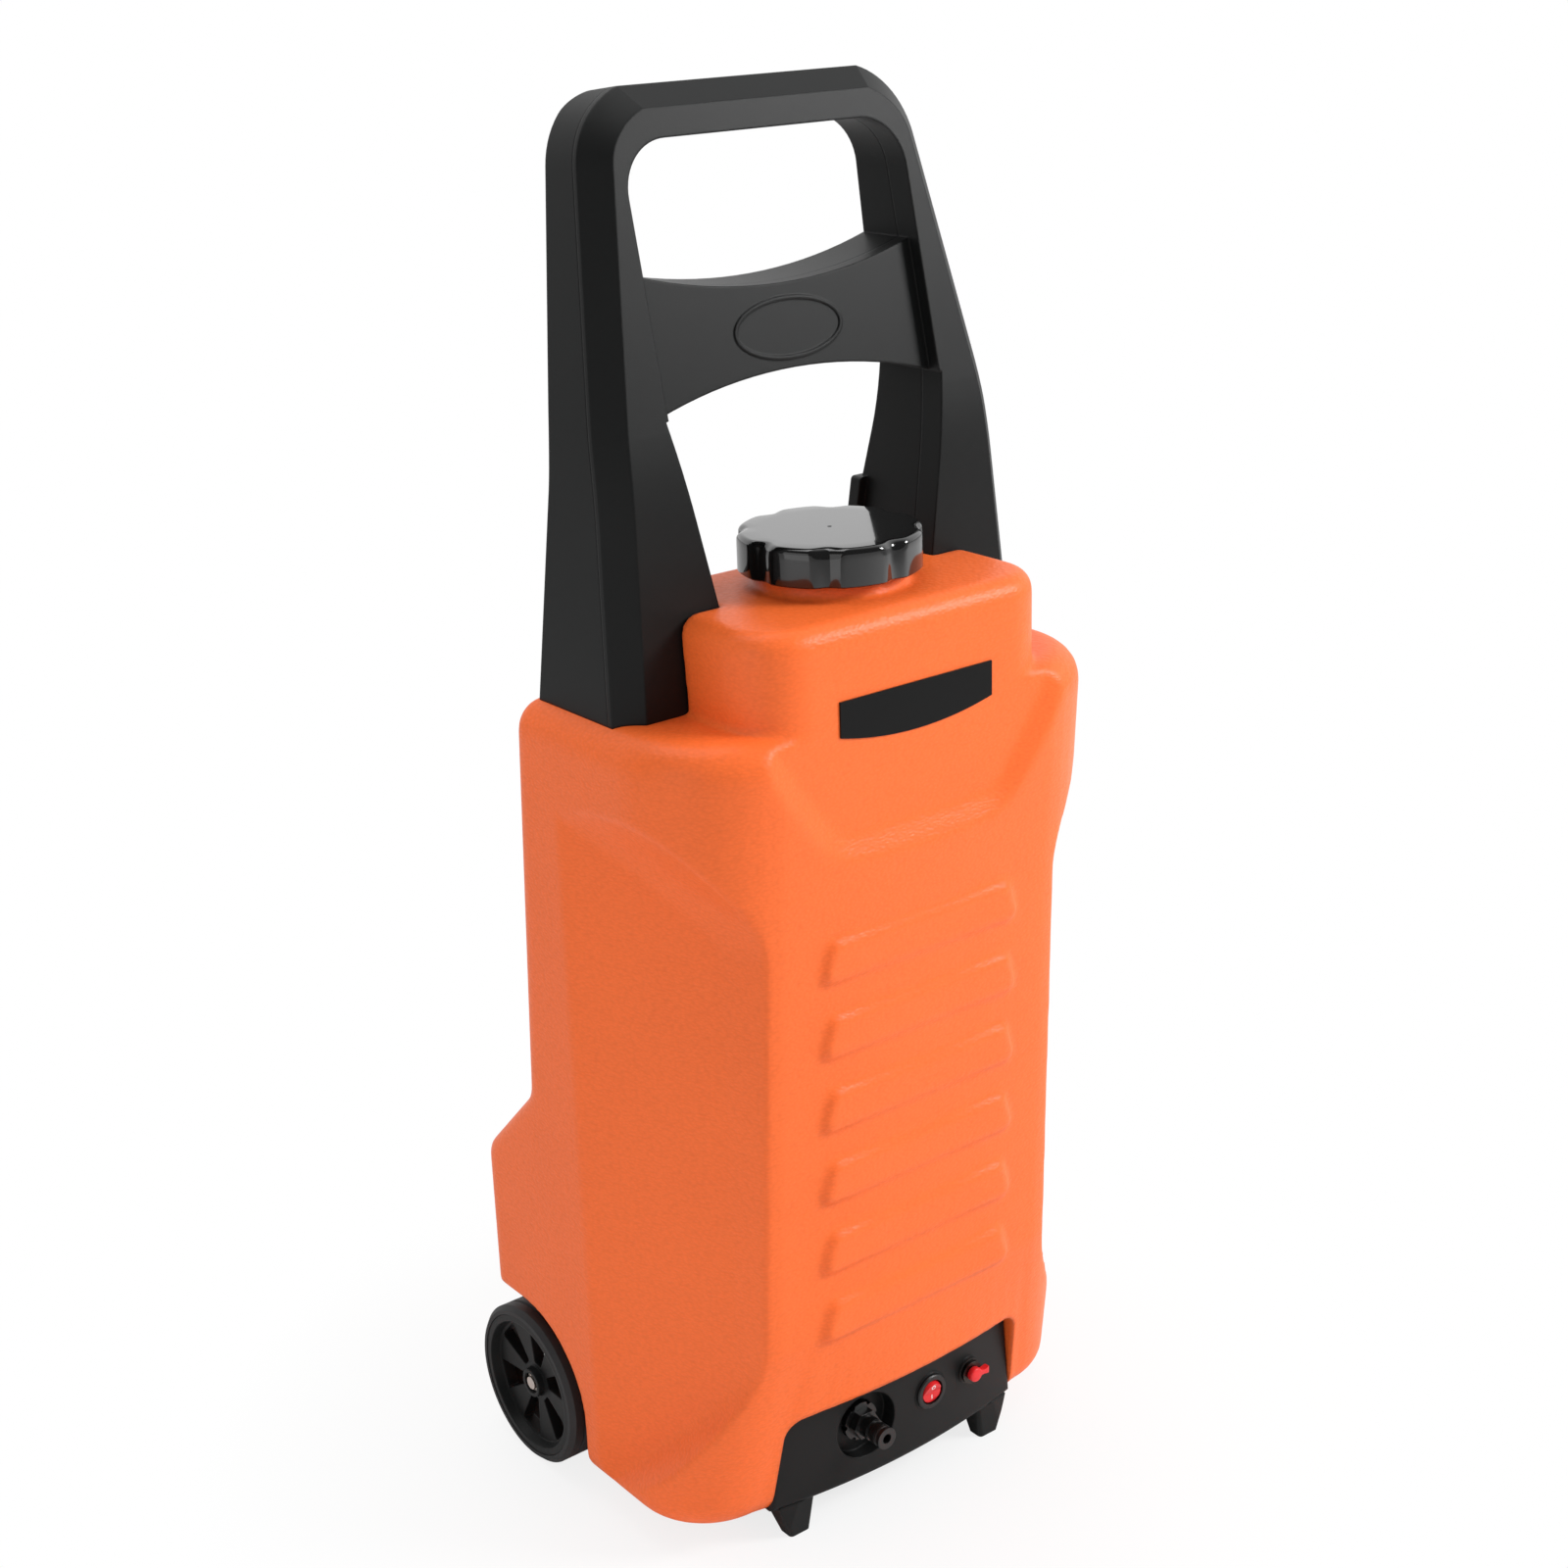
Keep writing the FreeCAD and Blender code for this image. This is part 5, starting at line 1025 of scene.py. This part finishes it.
def soft_lamp(name, power, width, height, spot, target):
    """Rectangular area light aimed at a point."""
    lamp = bpy.data.lights.new(name, "AREA")
    lamp.shape = "RECTANGLE"
    lamp.size = width
    lamp.size_y = height
    lamp.energy = power
    holder = bpy.data.objects.new(name, lamp)
    holder.location = spot
    holder.rotation_euler = (Vector(target) - Vector(spot)).to_track_quat("-Z", "Y").to_euler()
    bpy.context.scene.collection.objects.link(holder)


def pale_floor():
    """Wide floor that looks white and keeps the object's shadow."""
    mesh = bpy.data.meshes.new("studio_floor")
    form = bmesh.new()
    bmesh.ops.create_grid(form, x_segments=1, y_segments=1, size=FLOOR_HALF)
    form.to_mesh(mesh)
    form.free()
    floor = bpy.data.objects.new("studio_floor", mesh)
    bpy.context.scene.collection.objects.link(floor)
    finish = Finish("studio_floor", (0.9, 0.9, 0.9), 0.9)
    glow = finish.add("ShaderNodeEmission", None, WHITE, 1.0)
    across, along, _ = finish.axes()
    away = (across * across + along * along) ** 0.5
    seen = finish.add("ShaderNodeLightPath", take="Is Camera Ray")
    share = seen * (away * FLOOR_GLOW_RISE + FLOOR_GLOW).clamped()
    paint_and_glow = finish.add("ShaderNodeMixShader", None, share,
                                Signal(finish, finish.shader.outputs[0]), glow)
    finish.join(finish.tree.nodes["Material Output"].inputs["Surface"], paint_and_glow)
    mesh.materials.append(finish.material)


def studio_world(strength):
    """Soft light from all round, with a white backdrop for the camera and for what mirrors it."""
    world = bpy.data.worlds.new("studio_world")
    world.use_nodes = True
    nodes = Nodes(world.node_tree)
    room = nodes.add("ShaderNodeBackground", None, WHITE, strength)
    backdrop = nodes.add("ShaderNodeBackground", None, WHITE, 1.0)
    direction = nodes.add("ShaderNodeTexCoord", take="Generated")
    ahead = nodes.add("ShaderNodeVectorMath", {"operation": "DOT_PRODUCT"}, direction, BACKDROP_WAY,
                      take="Value")
    mirrored = nodes.add("ShaderNodeLightPath", take="Is Glossy Ray")
    clear = nodes.add("ShaderNodeLightPath", take="Is Transmission Ray")
    seen = nodes.add("ShaderNodeLightPath", take="Is Camera Ray").greater(clear)
    dim = nodes.add("ShaderNodeBackground", None, WHITE, MIRRORED_ROOM)
    around = nodes.add("ShaderNodeMixShader", None, mirrored, room, dim)
    white = seen.greater(mirrored * (ahead * 2.0).clamped())
    light = nodes.add("ShaderNodeMixShader", None, white, around, backdrop)
    nodes.join(world.node_tree.nodes["World Output"].inputs["Surface"], light)
    bpy.context.scene.world = world


class TROLLEYTANK_OT_stage(bpy.types.Operator):
    """Set the floor, the lights and the camera"""

    bl_idname = "trolleytank.stage"
    bl_label = "Studio"

    def execute(self, context):
        look = context.scene.studio_look
        pale_floor()
        studio_world(look.room)
        soft_lamp("key_lamp", look.key_power, 1.1, 1.1, (2.2, -2.1, 2.3), (0, 0, 0.5))
        soft_lamp("fill_lamp", look.fill_power, 1.8, 2.0, (-2.6, -0.6, 1.0), (0, 0, 0.5))
        soft_lamp("top_lamp", look.top_power, 1.4, 1.4, (-0.2, 0.6, 2.6), (0, 0, 0.8))
        lens = bpy.data.cameras.new("photo_camera")
        lens.lens = look.lens
        lens.sensor_width = 36.0
        lens.clip_start = 0.05
        camera = bpy.data.objects.new("photo_camera", lens)
        turn = Matrix.Rotation(-look.heading, 4, "Z") @ Matrix.Rotation(math.pi / 2 - look.pitch, 4, "X")
        camera.matrix_world = Matrix.Translation(CAMERA_SPOT) @ turn @ Matrix.Rotation(-look.roll, 4, "Z")
        context.scene.collection.objects.link(camera)
        context.scene.camera = camera
        context.scene.view_settings.view_transform = "Standard"
        return {"FINISHED"}


STEPS = (
    TROLLEYTANK_OT_stage, TROLLEYTANK_OT_tank, TROLLEYTANK_OT_handle, TROLLEYTANK_OT_cap,
    TROLLEYTANK_OT_wheels, TROLLEYTANK_OT_base, TROLLEYTANK_OT_connector, TROLLEYTANK_OT_switch,
    TROLLEYTANK_OT_socket, TROLLEYTANK_OT_bay, TROLLEYTANK_OT_fasteners,
)

GROUPS = (
    (TankShape, "tank_shape"),
    (CapShape, "cap_shape"),
    (TankLook, "tank_look"),
    (PlasticLook, "plastic_look"),
    (FittingLook, "fitting_look"),
    (StudioLook, "studio_look"),
)


class TROLLEYTANK_PT_panel(bpy.types.Panel):
    """Lists the steps and the sizes and colours that can be changed"""

    bl_idname = "TROLLEYTANK_PT_panel"
    bl_label = "Trolley Tank"
    bl_space_type = "VIEW_3D"
    bl_region_type = "UI"
    bl_category = "Trolley Tank"

    def draw(self, context):
        for step in STEPS:
            self.layout.operator(step.bl_idname)
        for group, name in GROUPS:
            settings = getattr(context.scene, name)
            for key in group.__annotations__:
                self.layout.prop(settings, key)


def register():
    for group, name in GROUPS:
        bpy.utils.register_class(group)
        setattr(bpy.types.Scene, name, PointerProperty(type=group))
    for step in STEPS:
        bpy.utils.register_class(step)
    bpy.utils.register_class(TROLLEYTANK_PT_panel)


def unregister():
    bpy.utils.unregister_class(TROLLEYTANK_PT_panel)
    for step in reversed(STEPS):
        bpy.utils.unregister_class(step)
    for group, name in reversed(GROUPS):
        delattr(bpy.types.Scene, name)
        bpy.utils.unregister_class(group)


def main():
    register()
    for step in STEPS:
        getattr(bpy.ops.trolleytank, step.bl_idname.split(".")[1])()


if __name__ == "__main__":
    main()
